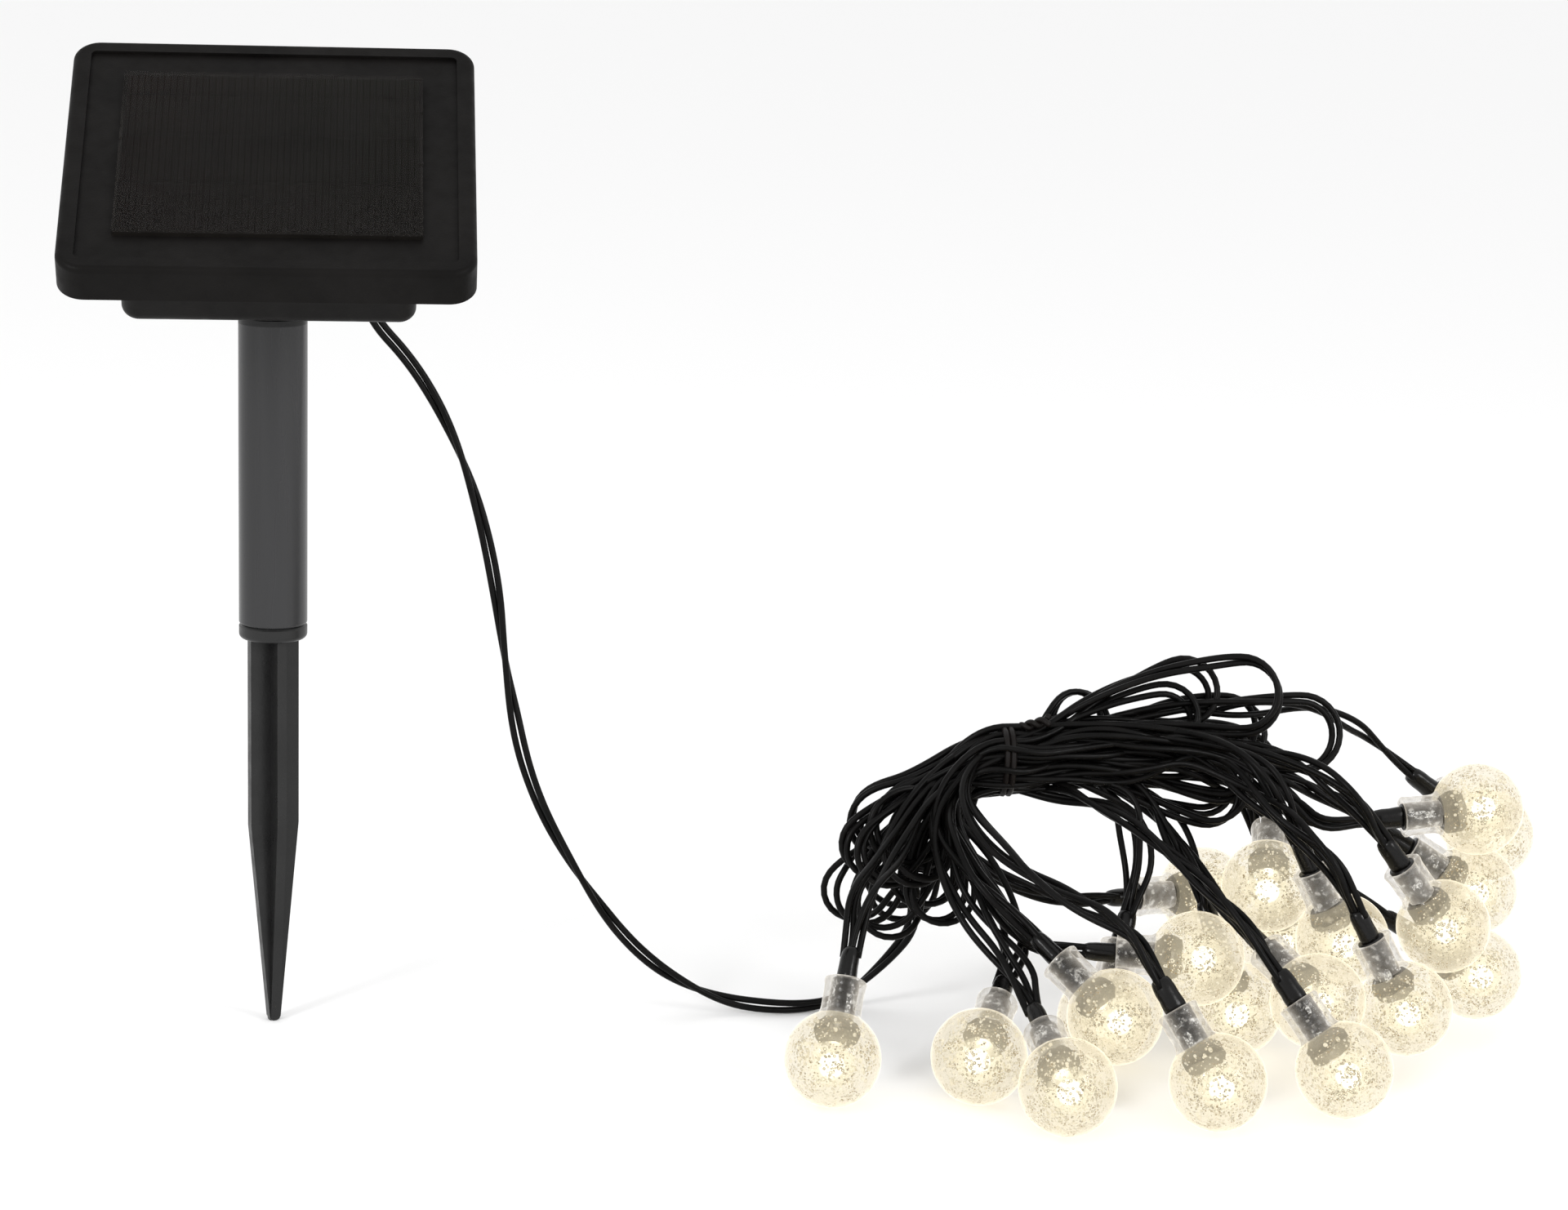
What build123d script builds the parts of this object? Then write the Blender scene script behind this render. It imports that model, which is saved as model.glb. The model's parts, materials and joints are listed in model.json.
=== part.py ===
from build123d import *
import math
import os

# Solar string lights: a solar head that tilts on a ground stake, and a string of twenty
# bubble globes that lies in a tied hank beside it.
# Millimetres. Origin at the tip of the ground spike, +Z up along the stake, -Y is the front.
# The string lies on the plane z = 0.

# ---------------------------------------------------------------- driving dimensions
TUBE_R = 9.0
TUBE_WALL = 1.2
TUBE_BOTTOM = 110.0
TUBE_TOP = 190.0
TUBE_EDGE = 0.7
PLUG_R = TUBE_R - TUBE_WALL
PLUG_LENGTH = 20.0

COLLAR_HEIGHT = 4.0
COLLAR_GROOVE = 0.6
SPIKE_RIB_REACH = 6.7
SPIKE_RIB_THICK = 2.6
SPIKE_TAPER_START = 55.0
SPIKE_TIP_HALF = 1.6
SPIKE_TURN = 22.0
COLLAR_EDGE = 1.4
PLUG_LEAD_IN = 1.0
BRACKET_SEAT = 1.5

HINGE_Z = 200.0
KNUCKLE_R = 7.5
KNUCKLE_HALF = 9.0
KNUCKLE_REACH = 10.0
EAR_INNER = 9.2
EAR_THICK = 4.1
EAR_R = 7.0
BOLT_R = 2.5
BOLT_PLAY = 0.05
WASHER_R = 5.5
WASHER_THICK = 1.0
BOLT_HEAD_R = 4.5
BOLT_HEAD_HEIGHT = 3.2
NUT_R = 7.0
NUT_HEIGHT = 6.0
NUT_FLUTES = 12
NUT_FLUTE_R = 1.0
NUT_EDGE = 0.8
BOLT_SOCKET_R = 1.7
BOLT_SOCKET_DEPTH = 1.5
BOLT_HEAD_EDGE = 1.6

# The head is drawn level in its own frame: x across, u towards the rear and n up through the
# panel, from the hinge axis. head() then tilts it and lifts it to the hinge.
TILT = 33.0
FRAME_WIDTH = 104.0
FRAME_DEPTH = 92.0
FRAME_HEIGHT = 10.0
FRAME_FRONT = -38.0
FRAME_TOP = 36.8
FRAME_WALL = 2.2
FRAME_CORNER = 7.0
RIM_WIDTH = 4.6
RIM_EDGE = 1.6
RECESS_DEPTH = 1.0
RECESS_CORNER = 1.5
DECK_THICK = 2.0
CAVITY_CORNER = 2.0
BOARD_CORNER = 0.6
BOARD_WIDTH = 77.0
BOARD_DEPTH = 64.0
BOARD_THICK = 1.2
CELL_GAP = 0.5
CELL_THICK = 0.3
CELL_MARGIN = 1.0
CELL_DEPTHS = [18.4, 18.4, 16.3, 7.4]
LAMINATE_THICK = 0.4
SEAM_WIDTH = 0.4
SEAM_DEPTH = 0.2

BOX_WIDTH = 74.0
BOX_FRONT = -28.6
BOX_DEPTH = 68.0
BOX_BOTTOM = 10.9
BOX_WALL = 2.0
BOX_CORNER = 4.5
BOX_INNER_CORNER = 2.5
BOX_EDGE = 3.0
PLATE_THICK = 2.0
PLATE_PLAY = 0.2
PLATE_CORNER = 1.8
GASKET_THICK = 1.5
GASKET_WIDTH = 2.0
GASKET_INSET = 10.0
GASKET_CORNER = 3.0

SCREW_R = 1.3
SCREW_PLAY = 0.05
SCREW_HEAD_R = 2.5
SCREW_HEAD_HEIGHT = 1.6
SCREW_HEAD_EDGE = 0.7
SLOT_LENGTH = 2.8
SLOT_WIDTH = 0.7
SLOT_DEPTH = 0.8
BOSS_R = 3.0
CASE_SCREW_INSET = 6.0
DOOR_SCREW_INSET = 3.2
DOOR_SCREW_LENGTH = 6.5
DOOR_BOSS_HEIGHT = 6.0

BATTERY_R = 7.1
BATTERY_LENGTH = 49.0
BATTERY_U = 23.0
BATTERY_BUTTON = 1.2
BATTERY_BUTTON_R = 2.7
BATTERY_EDGE = 0.6
DOOR_WIDTH = 66.0
DOOR_DEPTH = 28.0
DOOR_THICK = 1.6
DOOR_CORNER = 2.5
DOOR_LEDGE = 6.0
DOOR_PLAY = 0.3
DOOR_PLUG_HEIGHT = 1.5
DOOR_PLUG_CORNER = 2.0
SEAL_THICK = 0.8
SEAL_WIDTH = 1.5
CRADLE_THICK = 1.6
CRADLE_WIDTH = 13.0
CONTACT_SIZE = 11.0
CONTACT_THICK = 0.6
SPRING_WIRE_R = 0.35
SPRING_R = 3.4
SPRING_TURNS = 3
SPRING_CONE = -18.0
SPRING_SEAT = 0.8

PCB_WIDTH = 58.0
PCB_DEPTH = 17.0
PCB_THICK = 1.6
PCB_U = -17.0
PCB_N = 19.0
PCB_CORNER = 1.0
PCB_POST_R = 2.0
CHIP_SIZE = (6.0, 5.0, 1.6)
CHIP_X = 4.0
CAN_R = 2.5
CAN_HEIGHT = 5.0
CAN_X = 16.0
SWITCH_SIZE = 6.0
SWITCH_HEIGHT = 3.0
PLUNGER_R = 1.5
PLUNGER_HEIGHT = 0.6
BUTTON_X = [-23.0, -11.0]
BUTTON_U = -17.0
BUTTON_R = 4.0
BUTTON_PLAY = 0.08
BUTTON_PROUD = 1.4
BUTTON_TRAVEL = 1.0
BUTTON_EDGE = 0.8
BUTTON_FLANGE = 0.9
BUTTON_FLANGE_THICK = 0.8
BUTTON_STEM_R = 1.4
BUTTON_STEM_GAP = 0.1

GLAND_X = 22.0
GLAND_U = 2.0
GLAND_PROUD = 7.0
GLAND_R = 3.8
GLAND_TIP_R = 2.4
GLAND_NECK_R = 2.6
GLAND_NUT_R = 3.6
GLAND_NUT_THICK = 1.2
GLAND_GROOVES = 3
GLAND_GROOVE_START = 1.4
GLAND_GROOVE_PITCH = 1.6
GLAND_GROOVE_WIDTH = 0.7
GLAND_GROOVE_R = 2.1
GLAND_GROOVE_FLARE = 0.25

# Each globe: the centre of the ball, then the far end of the sleeve on its neck.
GLOBE_R = 12.5
NECK_R = 5.25
NECK_END = 21.0
NECK_EDGE = 0.5
HOLDER_R = 3.6
HOLDER_START = 9.0
LAMP_R = 2.5
LAMP_START = 3.5
LAMP_PLAY = 0.1
SLEEVE_R = 2.9
SLEEVE_END = 30.0
SLEEVE_EDGE = 0.8
GLOBES = [
    ((144, -72, 12.5), (150, -56, 37)),
    ((182, -71, 12.5), (192, -46, 25)),
    ((201, -95, 12.5), (196, -68, 25)),
    ((218, -65, 21), (199, -50, 38)),
    ((242, -50, 32), (213, -43, 32)),
    ((240, -92, 12.5), (226, -80, 36)),
    ((256, -37, 14), (249, -23, 40)),
    ((267, -20, 43), (273, 5, 59)),
    ((254, 1, 35), (226, -8, 36)),
    ((220, -40, 12.5), (228, -26, 38)),
    ((284, -37, 33), (271, -35, 60)),
    ((272, -62, 24), (257, -40, 37)),
    ((297, -56, 20), (283, -54, 46)),
    ((274, -86, 13.5), (258, -74, 36)),
    ((311, -38, 37), (293, -39, 61)),
    ((326, -11, 62), (296, -12, 59)),
    ((339, 20, 46), (315, 20, 64)),
    ((328, -4, 37), (303, -1, 53)),
    ((325, -23, 19), (300, -19, 34)),
    ((278, 5, 20), (270, 5, 49)),
]

# The lead is a twisted pair, drawn as one round tube of its outside diameter.
CORD_D = 3.6
LEAD = [
    (22, -0.3, 204.1), (23, 7, 193), (38, 8, 177), (50, 6, 154), (58, 3, 126), (62, 0, 94),
    (68, -3, 66), (82, -3, 40), (99, 0, 17), (119, 4, 4), (139, 1, 1.9), (155, 7, 2.2),
    (167, 5, 14), (175, 0, 27),
]
LEAD_SPLIT = 2
BEND_SHARE = 0.45

# The hank: its branches are the stretches where many turns lie side by side.
TIE = (197, -5, 74)
TIE_R = 8.7
TIE_WIRE_R = 0.8
STEM_R = 2.4
HANK_CLEARANCE = 0.4
HANK_JOINT = 1.04
KNOT_TURN = (35, 25, 0)
BRANCHES = [
    (7.8, [(180, -5, 68), (190, -5, 74), (206, -5, 75), (226, -5, 75)]),
    (8.0, [(226, -5, 75), (250, -4, 73), (272, -3, 70), (292, -3, 66)]),
    (5.5, [(226, -5, 80), (248, -3, 91), (270, 0, 91), (292, 7, 85), (306, 13, 76)]),
    (5.0, [(272, -3, 70), (292, -34, 70)]),
    (5.0, [(240, -8, 70), (262, -30, 66), (276, -46, 57)]),
    (5.0, [(222, -8, 70), (238, -30, 57), (248, -56, 46)]),
    (5.0, [(180, -5, 68), (166, -5, 58), (161, -5, 44), (167, -3, 30), (175, 0, 27)]),
    (5.5, [(180, -5, 68), (178, -4, 40), (180, 0, 15)]),
    (6.0, [(180, -5, 68), (174, -22, 34)]),
    (5.5, [(182, -8, 66), (167, -26, 57), (157, -42, 48)]),
    (5.5, [(182, -8, 66), (181, -32, 52), (186, -46, 44)]),
    (5.5, [(182, -8, 66), (196, -36, 52), (208, -62, 47)]),
    (5.0, [(181, -32, 52), (198, -14, 48), (218, -14, 46)]),
]


# ---------------------------------------------------------------- small helpers
def cylinder(radius, bottom, top, x=0.0, y=0.0):
    """An upright cylinder between two heights."""
    return Pos(x, y, (bottom + top) / 2) * Cylinder(radius, top - bottom)


def cross_cylinder(radius, low, high, y=0.0, z=0.0):
    """A cylinder along X between two places."""
    return Pos((low + high) / 2, y, z) * Rot(0, 90, 0) * Cylinder(radius, high - low)


def block(width, depth, bottom, top, x=0.0, y=0.0, corner=0.0):
    """An upright block, with its upright edges rounded if a corner radius is given."""
    outline = RectangleRounded(width, depth, corner) if corner else Rectangle(width, depth)
    return extrude(Pos(x, y, bottom) * outline, top - bottom)


def aimed(shape, start, end):
    """Turns a shape drawn up +Z from the origin so that it points from start to end."""
    direction = Vector(*end) - Vector(*start)
    return Plane(origin=start, z_dir=direction) * shape


def head(shape):
    """Puts a shape from the head's own frame at the hinge, tilted to the front."""
    return Pos(0, 0, HINGE_Z) * Rot(TILT, 0, 0) * shape


def rod(radius, start, end):
    """A round bar from one point to another."""
    length = (Vector(*end) - Vector(*start)).length
    return aimed(cylinder(radius, 0, length), start, end)


def pan_screw(x, y, seat, length):
    """A cross-head screw that points up, with its head below the seat."""
    shank = cylinder(SCREW_R, seat, seat + length, x, y)
    cap = cylinder(SCREW_HEAD_R, seat - SCREW_HEAD_HEIGHT, seat, x, y)
    rim = cap.edges().sort_by(Axis.Z)[0]
    cap = fillet(rim, SCREW_HEAD_EDGE)
    slot = Box(SLOT_LENGTH, SLOT_WIDTH, 2 * SLOT_DEPTH)
    slot += Box(SLOT_WIDTH, SLOT_LENGTH, 2 * SLOT_DEPTH)
    return cap + shank - Pos(x, y, seat - SCREW_HEAD_HEIGHT) * slot


# ---------------------------------------------------------------- stake
def spike_rib():
    """One blade of the cross-shaped spike, tapered to the tip."""
    top = TUBE_BOTTOM - COLLAR_HEIGHT
    with BuildPart() as rib:
        with BuildSketch(Plane.XZ):
            with BuildLine():
                Polyline(
                    (-SPIKE_RIB_REACH, top),
                    (-SPIKE_RIB_REACH, SPIKE_TAPER_START),
                    (-SPIKE_TIP_HALF, SPIKE_TIP_HALF),
                )
                ThreePointArc(
                    (-SPIKE_TIP_HALF, SPIKE_TIP_HALF), (0, 0), (SPIKE_TIP_HALF, SPIKE_TIP_HALF)
                )
                Polyline(
                    (SPIKE_TIP_HALF, SPIKE_TIP_HALF),
                    (SPIKE_RIB_REACH, SPIKE_TAPER_START),
                    (SPIKE_RIB_REACH, top),
                    (-SPIKE_RIB_REACH, top),
                )
            make_face()
        extrude(amount=SPIKE_RIB_THICK / 2, both=True)
    return rib.part


def ground_spike():
    rib = spike_rib()
    cross = rib + Rot(0, 0, 90) * rib
    collar_bottom = TUBE_BOTTOM - COLLAR_HEIGHT
    collar = cylinder(TUBE_R, collar_bottom, TUBE_BOTTOM)
    collar = fillet(collar.edges().sort_by(Axis.Z)[0], COLLAR_EDGE)
    collar = chamfer(collar.edges().sort_by(Axis.Z)[-1], COLLAR_GROOVE)
    plug = cylinder(PLUG_R, TUBE_BOTTOM, TUBE_BOTTOM + PLUG_LENGTH)
    plug = chamfer(plug.edges().sort_by(Axis.Z)[-1], PLUG_LEAD_IN)
    return Rot(0, 0, SPIKE_TURN) * cross + collar + plug


def stake_tube():
    wall = cylinder(TUBE_R, TUBE_BOTTOM, TUBE_TOP)
    wall = fillet(wall.edges().sort_by(Axis.Z)[0], TUBE_EDGE)
    return wall - cylinder(PLUG_R, TUBE_BOTTOM, TUBE_TOP)


def hinge_bracket():
    """The plug in the top of the tube, with the hinge knuckle on it."""
    plug = cylinder(PLUG_R, TUBE_TOP - PLUG_LENGTH, TUBE_TOP)
    plug = chamfer(plug.edges().sort_by(Axis.Z)[0], PLUG_LEAD_IN)
    seat = cylinder(TUBE_R, TUBE_TOP, TUBE_TOP + BRACKET_SEAT)
    knuckle = cross_cylinder(KNUCKLE_R, -KNUCKLE_HALF, KNUCKLE_HALF, 0, HINGE_Z)
    neck = block(2 * KNUCKLE_HALF, 2 * KNUCKLE_R, TUBE_TOP, HINGE_Z)
    neck = neck & cylinder(TUBE_R, TUBE_TOP, HINGE_Z)
    ends = cylinder(KNUCKLE_REACH, TUBE_TOP, HINGE_Z + KNUCKLE_R)
    bore = cross_cylinder(BOLT_R + BOLT_PLAY, -KNUCKLE_REACH, KNUCKLE_REACH, 0, HINGE_Z)
    return plug + seat + neck + (knuckle & ends) - bore


# ---------------------------------------------------------------- hinge hardware, head frame
def hinge_bolt():
    """The button-head bolt, which goes through both ears and the knuckle."""
    seat = EAR_INNER + EAR_THICK + WASHER_THICK
    button = cross_cylinder(BOLT_HEAD_R, seat, seat + BOLT_HEAD_HEIGHT)
    button = fillet(button.edges().sort_by(Axis.X)[-1], BOLT_HEAD_EDGE)
    socket = Pos(seat + BOLT_HEAD_HEIGHT, 0, 0) * Rot(0, 90, 0)
    hexagon = RegularPolygon(BOLT_SOCKET_R, 6)
    button -= socket * extrude(hexagon, BOLT_SOCKET_DEPTH, both=True)
    return button + cross_cylinder(BOLT_R, -seat - NUT_HEIGHT, seat)


def hinge_washers():
    seat = EAR_INNER + EAR_THICK
    ring = cross_cylinder(WASHER_R, seat, seat + WASHER_THICK)
    ring -= cross_cylinder(BOLT_R + BOLT_PLAY, seat, seat + WASHER_THICK)
    return Compound(children=[ring, mirror(ring, Plane.YZ)])


def hinge_nut():
    """A fluted thumb nut on the left end of the bolt."""
    seat = EAR_INNER + EAR_THICK + WASHER_THICK
    body = cylinder(NUT_R, 0, NUT_HEIGHT)
    body = chamfer(body.edges().sort_by(Axis.Z)[-1], NUT_EDGE)
    flute = cylinder(NUT_FLUTE_R, 0, NUT_HEIGHT)
    for place in PolarLocations(NUT_R + NUT_FLUTE_R / 2, NUT_FLUTES):
        body -= place * flute
    body -= cylinder(BOLT_R + BOLT_PLAY, 0, NUT_HEIGHT)
    return Pos(-seat, 0, 0) * Rot(0, -90, 0) * body


# ---------------------------------------------------------------- solar panel, head frame
FRAME_MIDDLE = FRAME_FRONT + FRAME_DEPTH / 2
FRAME_BOTTOM = FRAME_TOP - FRAME_HEIGHT
RECESS_FLOOR = FRAME_TOP - RECESS_DEPTH
DECK_BOTTOM = RECESS_FLOOR - DECK_THICK
PLATE_TOP = FRAME_BOTTOM + PLATE_THICK
GASKET_TOP = PLATE_TOP + GASKET_THICK
CAVITY_WIDTH = FRAME_WIDTH - 2 * FRAME_WALL
CAVITY_DEPTH = FRAME_DEPTH - 2 * FRAME_WALL
CASE_SCREW_X = CAVITY_WIDTH / 2 - CASE_SCREW_INSET
CASE_SCREW_U = CAVITY_DEPTH / 2 - CASE_SCREW_INSET
CASE_SCREWS = [(x, FRAME_MIDDLE + u) for x in (-CASE_SCREW_X, CASE_SCREW_X)
               for u in (-CASE_SCREW_U, CASE_SCREW_U)]


def panel_frame():
    """The moulded top shell: rounded rim, recess for the solar board and a hollow underside."""
    middle = FRAME_MIDDLE
    shell = block(FRAME_WIDTH, FRAME_DEPTH, FRAME_BOTTOM, FRAME_TOP, 0, middle, FRAME_CORNER)
    shell = fillet(shell.faces().sort_by(Axis.Z)[-1].edges(), RIM_EDGE)
    width = FRAME_WIDTH - 2 * RIM_WIDTH
    depth = FRAME_DEPTH - 2 * RIM_WIDTH
    shell -= block(width, depth, RECESS_FLOOR, FRAME_TOP, 0, middle, RECESS_CORNER)
    shell -= block(
        CAVITY_WIDTH, CAVITY_DEPTH, FRAME_BOTTOM, DECK_BOTTOM, 0, middle, CAVITY_CORNER
    )
    shell += gasket_ring(GASKET_TOP, DECK_BOTTOM)
    for x, u in CASE_SCREWS:
        shell += cylinder(BOSS_R, PLATE_TOP, DECK_BOTTOM, x, u)
        shell -= cylinder(SCREW_R + SCREW_PLAY, PLATE_TOP, DECK_BOTTOM - 0.4, x, u)
    return shell


def gasket_ring(bottom, top):
    """The track of the gasket, round the inside of the screw bosses' line."""
    width = CAVITY_WIDTH - 2 * GASKET_INSET
    depth = CAVITY_DEPTH - 2 * GASKET_INSET
    outer = block(width, depth, bottom, top, 0, FRAME_MIDDLE, GASKET_CORNER)
    width -= 2 * GASKET_WIDTH
    depth -= 2 * GASKET_WIDTH
    corner = GASKET_CORNER - GASKET_WIDTH
    return outer - block(width, depth, bottom, top, 0, FRAME_MIDDLE, corner)


def solar_board():
    top = RECESS_FLOOR + BOARD_THICK
    return block(BOARD_WIDTH, BOARD_DEPTH, RECESS_FLOOR, top, 0, FRAME_MIDDLE, BOARD_CORNER)


def cell_strips():
    """The solar cells, front strip first, in a row of strips with hairline gaps."""
    strips = []
    front = FRAME_MIDDLE - BOARD_DEPTH / 2 + CELL_MARGIN
    bottom = RECESS_FLOOR + BOARD_THICK
    width = BOARD_WIDTH - 2 * CELL_MARGIN
    for depth in CELL_DEPTHS:
        strip = block(width, depth, bottom, bottom + CELL_THICK, 0, front + depth / 2)
        strips.append(strip)
        front += depth + CELL_GAP
    return strips


def cell_laminate():
    """The clear skin over the cells, which fills the gaps between them below shallow seams."""
    bottom = RECESS_FLOOR + BOARD_THICK
    top = bottom + CELL_THICK + LAMINATE_THICK
    skin = block(BOARD_WIDTH, BOARD_DEPTH, bottom, top, 0, FRAME_MIDDLE, BOARD_CORNER)
    strips = cell_strips()
    for strip in strips:
        skin -= strip
    for strip in strips[:-1]:
        seam = strip.bounding_box().max.Y + CELL_GAP / 2
        skin -= block(BOARD_WIDTH, SEAM_WIDTH, top - SEAM_DEPTH, top, 0, seam)
    return skin


# ---------------------------------------------------------------- rear case, head frame
BOX_MIDDLE = BOX_FRONT + BOX_DEPTH / 2
BOX_FLOOR = BOX_BOTTOM + BOX_WALL
DOOR_SCREW_X = DOOR_WIDTH / 2 - DOOR_SCREW_INSET
DOOR_SCREW_U = DOOR_DEPTH / 2 - DOOR_SCREW_INSET
DOOR_SCREWS = [(x, BATTERY_U + u) for x in (-DOOR_SCREW_X, DOOR_SCREW_X)
               for u in (-DOOR_SCREW_U, DOOR_SCREW_U)]
OPENING_WIDTH = DOOR_WIDTH - 2 * DOOR_LEDGE
OPENING_DEPTH = DOOR_DEPTH - 2 * DOOR_LEDGE
BATTERY_N = BOX_FLOOR + BATTERY_R + 0.3
CONTACT_X = BATTERY_LENGTH / 2 + 3.0
PCB_POSTS = [(x, PCB_U + u) for x in (-27.0, 27.0) for u in (-6.5, 6.5)]


def box_inside(bottom, top):
    """The room inside the box between two heights."""
    width = BOX_WIDTH - 2 * BOX_WALL
    depth = BOX_DEPTH - 2 * BOX_WALL
    return block(width, depth, bottom, top, 0, BOX_MIDDLE, BOX_INNER_CORNER)


def back_plate():
    """The flat plate that closes the panel's underside round the box."""
    width = CAVITY_WIDTH - 2 * PLATE_PLAY
    depth = CAVITY_DEPTH - 2 * PLATE_PLAY
    plate = block(width, depth, FRAME_BOTTOM, PLATE_TOP, 0, FRAME_MIDDLE, PLATE_CORNER)
    for x, u in CASE_SCREWS:
        plate -= cylinder(SCREW_R + SCREW_PLAY, FRAME_BOTTOM, PLATE_TOP, x, u)
    return plate - box_inside(FRAME_BOTTOM, PLATE_TOP)


def hinge_ears():
    """The two ears of the hinge, which hang from the floor of the box."""
    ears = []
    for side in (-1, 1):
        low, high = sorted((side * EAR_INNER, side * (EAR_INNER + EAR_THICK)))
        web = block(EAR_THICK, 2 * EAR_R, 0, BOX_BOTTOM, (low + high) / 2, 0)
        ear = web + cross_cylinder(EAR_R, low, high)
        ears.append(ear - cross_cylinder(BOLT_R + BOLT_PLAY, low, high))
    return Compound(children=ears)


def rear_case():
    """The box under the panel, with its screw bosses, board posts and battery cradle."""
    case = block(BOX_WIDTH, BOX_DEPTH, BOX_BOTTOM, FRAME_BOTTOM, 0, BOX_MIDDLE, BOX_CORNER)
    case = fillet(case.faces().sort_by(Axis.Z)[0].edges(), BOX_EDGE)
    case -= box_inside(BOX_FLOOR, FRAME_BOTTOM)
    boss_top = BOX_FLOOR + DOOR_BOSS_HEIGHT
    for x, u in DOOR_SCREWS:
        case += cylinder(BOSS_R, BOX_FLOOR, boss_top, x, u)
        case -= cylinder(SCREW_R + SCREW_PLAY, BOX_BOTTOM, boss_top - 0.6, x, u)
    case -= block(
        OPENING_WIDTH, OPENING_DEPTH, BOX_BOTTOM, BOX_FLOOR, 0, BATTERY_U, DOOR_PLUG_CORNER
    )
    for x, u in PCB_POSTS:
        case += cylinder(PCB_POST_R, BOX_FLOOR, PCB_N, x, u)
    for x in BUTTON_X:
        case -= cylinder(BUTTON_R + BUTTON_PLAY, BOX_BOTTOM, BOX_FLOOR, x, BUTTON_U)
    case -= cylinder(GLAND_NECK_R, BOX_BOTTOM, BOX_FLOOR, GLAND_X, GLAND_U)
    cradle_x = CONTACT_X + CONTACT_THICK + CRADLE_THICK / 2
    for x in (-cradle_x, cradle_x):
        case += block(CRADLE_THICK, CRADLE_WIDTH, BOX_FLOOR, BATTERY_N + 3, x, BATTERY_U)
    return case


def case_screws():
    length = DECK_BOTTOM - 1.0 - FRAME_BOTTOM
    return Compound(children=[pan_screw(x, u, FRAME_BOTTOM, length) for x, u in CASE_SCREWS])


def battery_door():
    """The cover plate of the battery bay, with a plug that fits the opening."""
    top = BOX_BOTTOM - SEAL_THICK
    bottom = top - DOOR_THICK
    plate = block(DOOR_WIDTH, DOOR_DEPTH, bottom, top, 0, BATTERY_U, DOOR_CORNER)
    plate = chamfer(plate.faces().sort_by(Axis.Z)[0].edges(), 0.5)
    width = OPENING_WIDTH - 2 * DOOR_PLAY
    depth = OPENING_DEPTH - 2 * DOOR_PLAY
    corner = DOOR_PLUG_CORNER - DOOR_PLAY
    plate += block(width, depth, top, BOX_BOTTOM + DOOR_PLUG_HEIGHT, 0, BATTERY_U, corner)
    for x, u in DOOR_SCREWS:
        plate -= cylinder(SCREW_R + SCREW_PLAY, bottom, top, x, u)
    return plate


def door_seal():
    bottom = BOX_BOTTOM - SEAL_THICK
    width = OPENING_WIDTH + 2 * SEAL_WIDTH
    depth = OPENING_DEPTH + 2 * SEAL_WIDTH
    ring = block(width, depth, bottom, BOX_BOTTOM, 0, BATTERY_U, DOOR_PLUG_CORNER + SEAL_WIDTH)
    return ring - block(
        OPENING_WIDTH, OPENING_DEPTH, bottom, BOX_BOTTOM, 0, BATTERY_U, DOOR_PLUG_CORNER
    )


def door_screws():
    seat = BOX_BOTTOM - SEAL_THICK - DOOR_THICK
    return Compound(children=[pan_screw(x, u, seat, DOOR_SCREW_LENGTH) for x, u in DOOR_SCREWS])


# ---------------------------------------------------------------- electrics, head frame
def battery():
    """One rechargeable AA cell, with its button terminal on the right."""
    half = BATTERY_LENGTH / 2
    can = cross_cylinder(BATTERY_R, -half, half, BATTERY_U, BATTERY_N)
    can = fillet(can.edges().filter_by(GeomType.CIRCLE), BATTERY_EDGE)
    tip = half + BATTERY_BUTTON
    return can + cross_cylinder(BATTERY_BUTTON_R, half, tip, BATTERY_U, BATTERY_N)


def battery_contact():
    """The flat plate that the battery's button presses on."""
    face = BATTERY_LENGTH / 2 + BATTERY_BUTTON
    back = CONTACT_X + CONTACT_THICK
    plate = Pos((face + back) / 2, BATTERY_U, BATTERY_N)
    return plate * Box(back - face, CONTACT_SIZE, CONTACT_SIZE)


def battery_spring():
    """The conical return spring, on its plate."""
    face = -BATTERY_LENGTH / 2
    plate_face = -CONTACT_X - CONTACT_THICK / 3
    plate = Pos(plate_face - CONTACT_THICK / 3, BATTERY_U, BATTERY_N)
    plate = plate * Box(2 * CONTACT_THICK / 3, CONTACT_SIZE, CONTACT_SIZE)
    height = face - plate_face
    path = Helix(
        pitch=height / SPRING_TURNS, height=height - SPRING_SEAT, radius=SPRING_R, cone_angle=SPRING_CONE
    )
    start = Plane(path @ 0, z_dir=path % 0)
    coil = sweep(start * Circle(SPRING_WIRE_R), path, is_frenet=True)
    coil = Pos(plate_face + SPRING_WIRE_R / 2, BATTERY_U, BATTERY_N) * Rot(0, 90, 0) * coil
    return plate + coil


def circuit_board():
    """The charge and flash controller board, with its chip and its smoothing can."""
    top = PCB_N + PCB_THICK
    board = block(PCB_WIDTH, PCB_DEPTH, PCB_N, top, 0, PCB_U, PCB_CORNER)
    width, depth, height = CHIP_SIZE
    chip = block(width, depth, top, top + height, CHIP_X, PCB_U)
    can = cylinder(CAN_R, top, top + CAN_HEIGHT, CAN_X, PCB_U)
    return board + chip + can


def tact_switches():
    bottom = PCB_N - SWITCH_HEIGHT
    bodies = []
    for x in BUTTON_X:
        body = block(SWITCH_SIZE, SWITCH_SIZE, bottom, PCB_N, x, BUTTON_U)
        plunger = cylinder(PLUNGER_R, bottom - PLUNGER_HEIGHT, bottom, x, BUTTON_U)
        bodies.append(body + plunger)
    return Compound(children=bodies)


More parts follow.
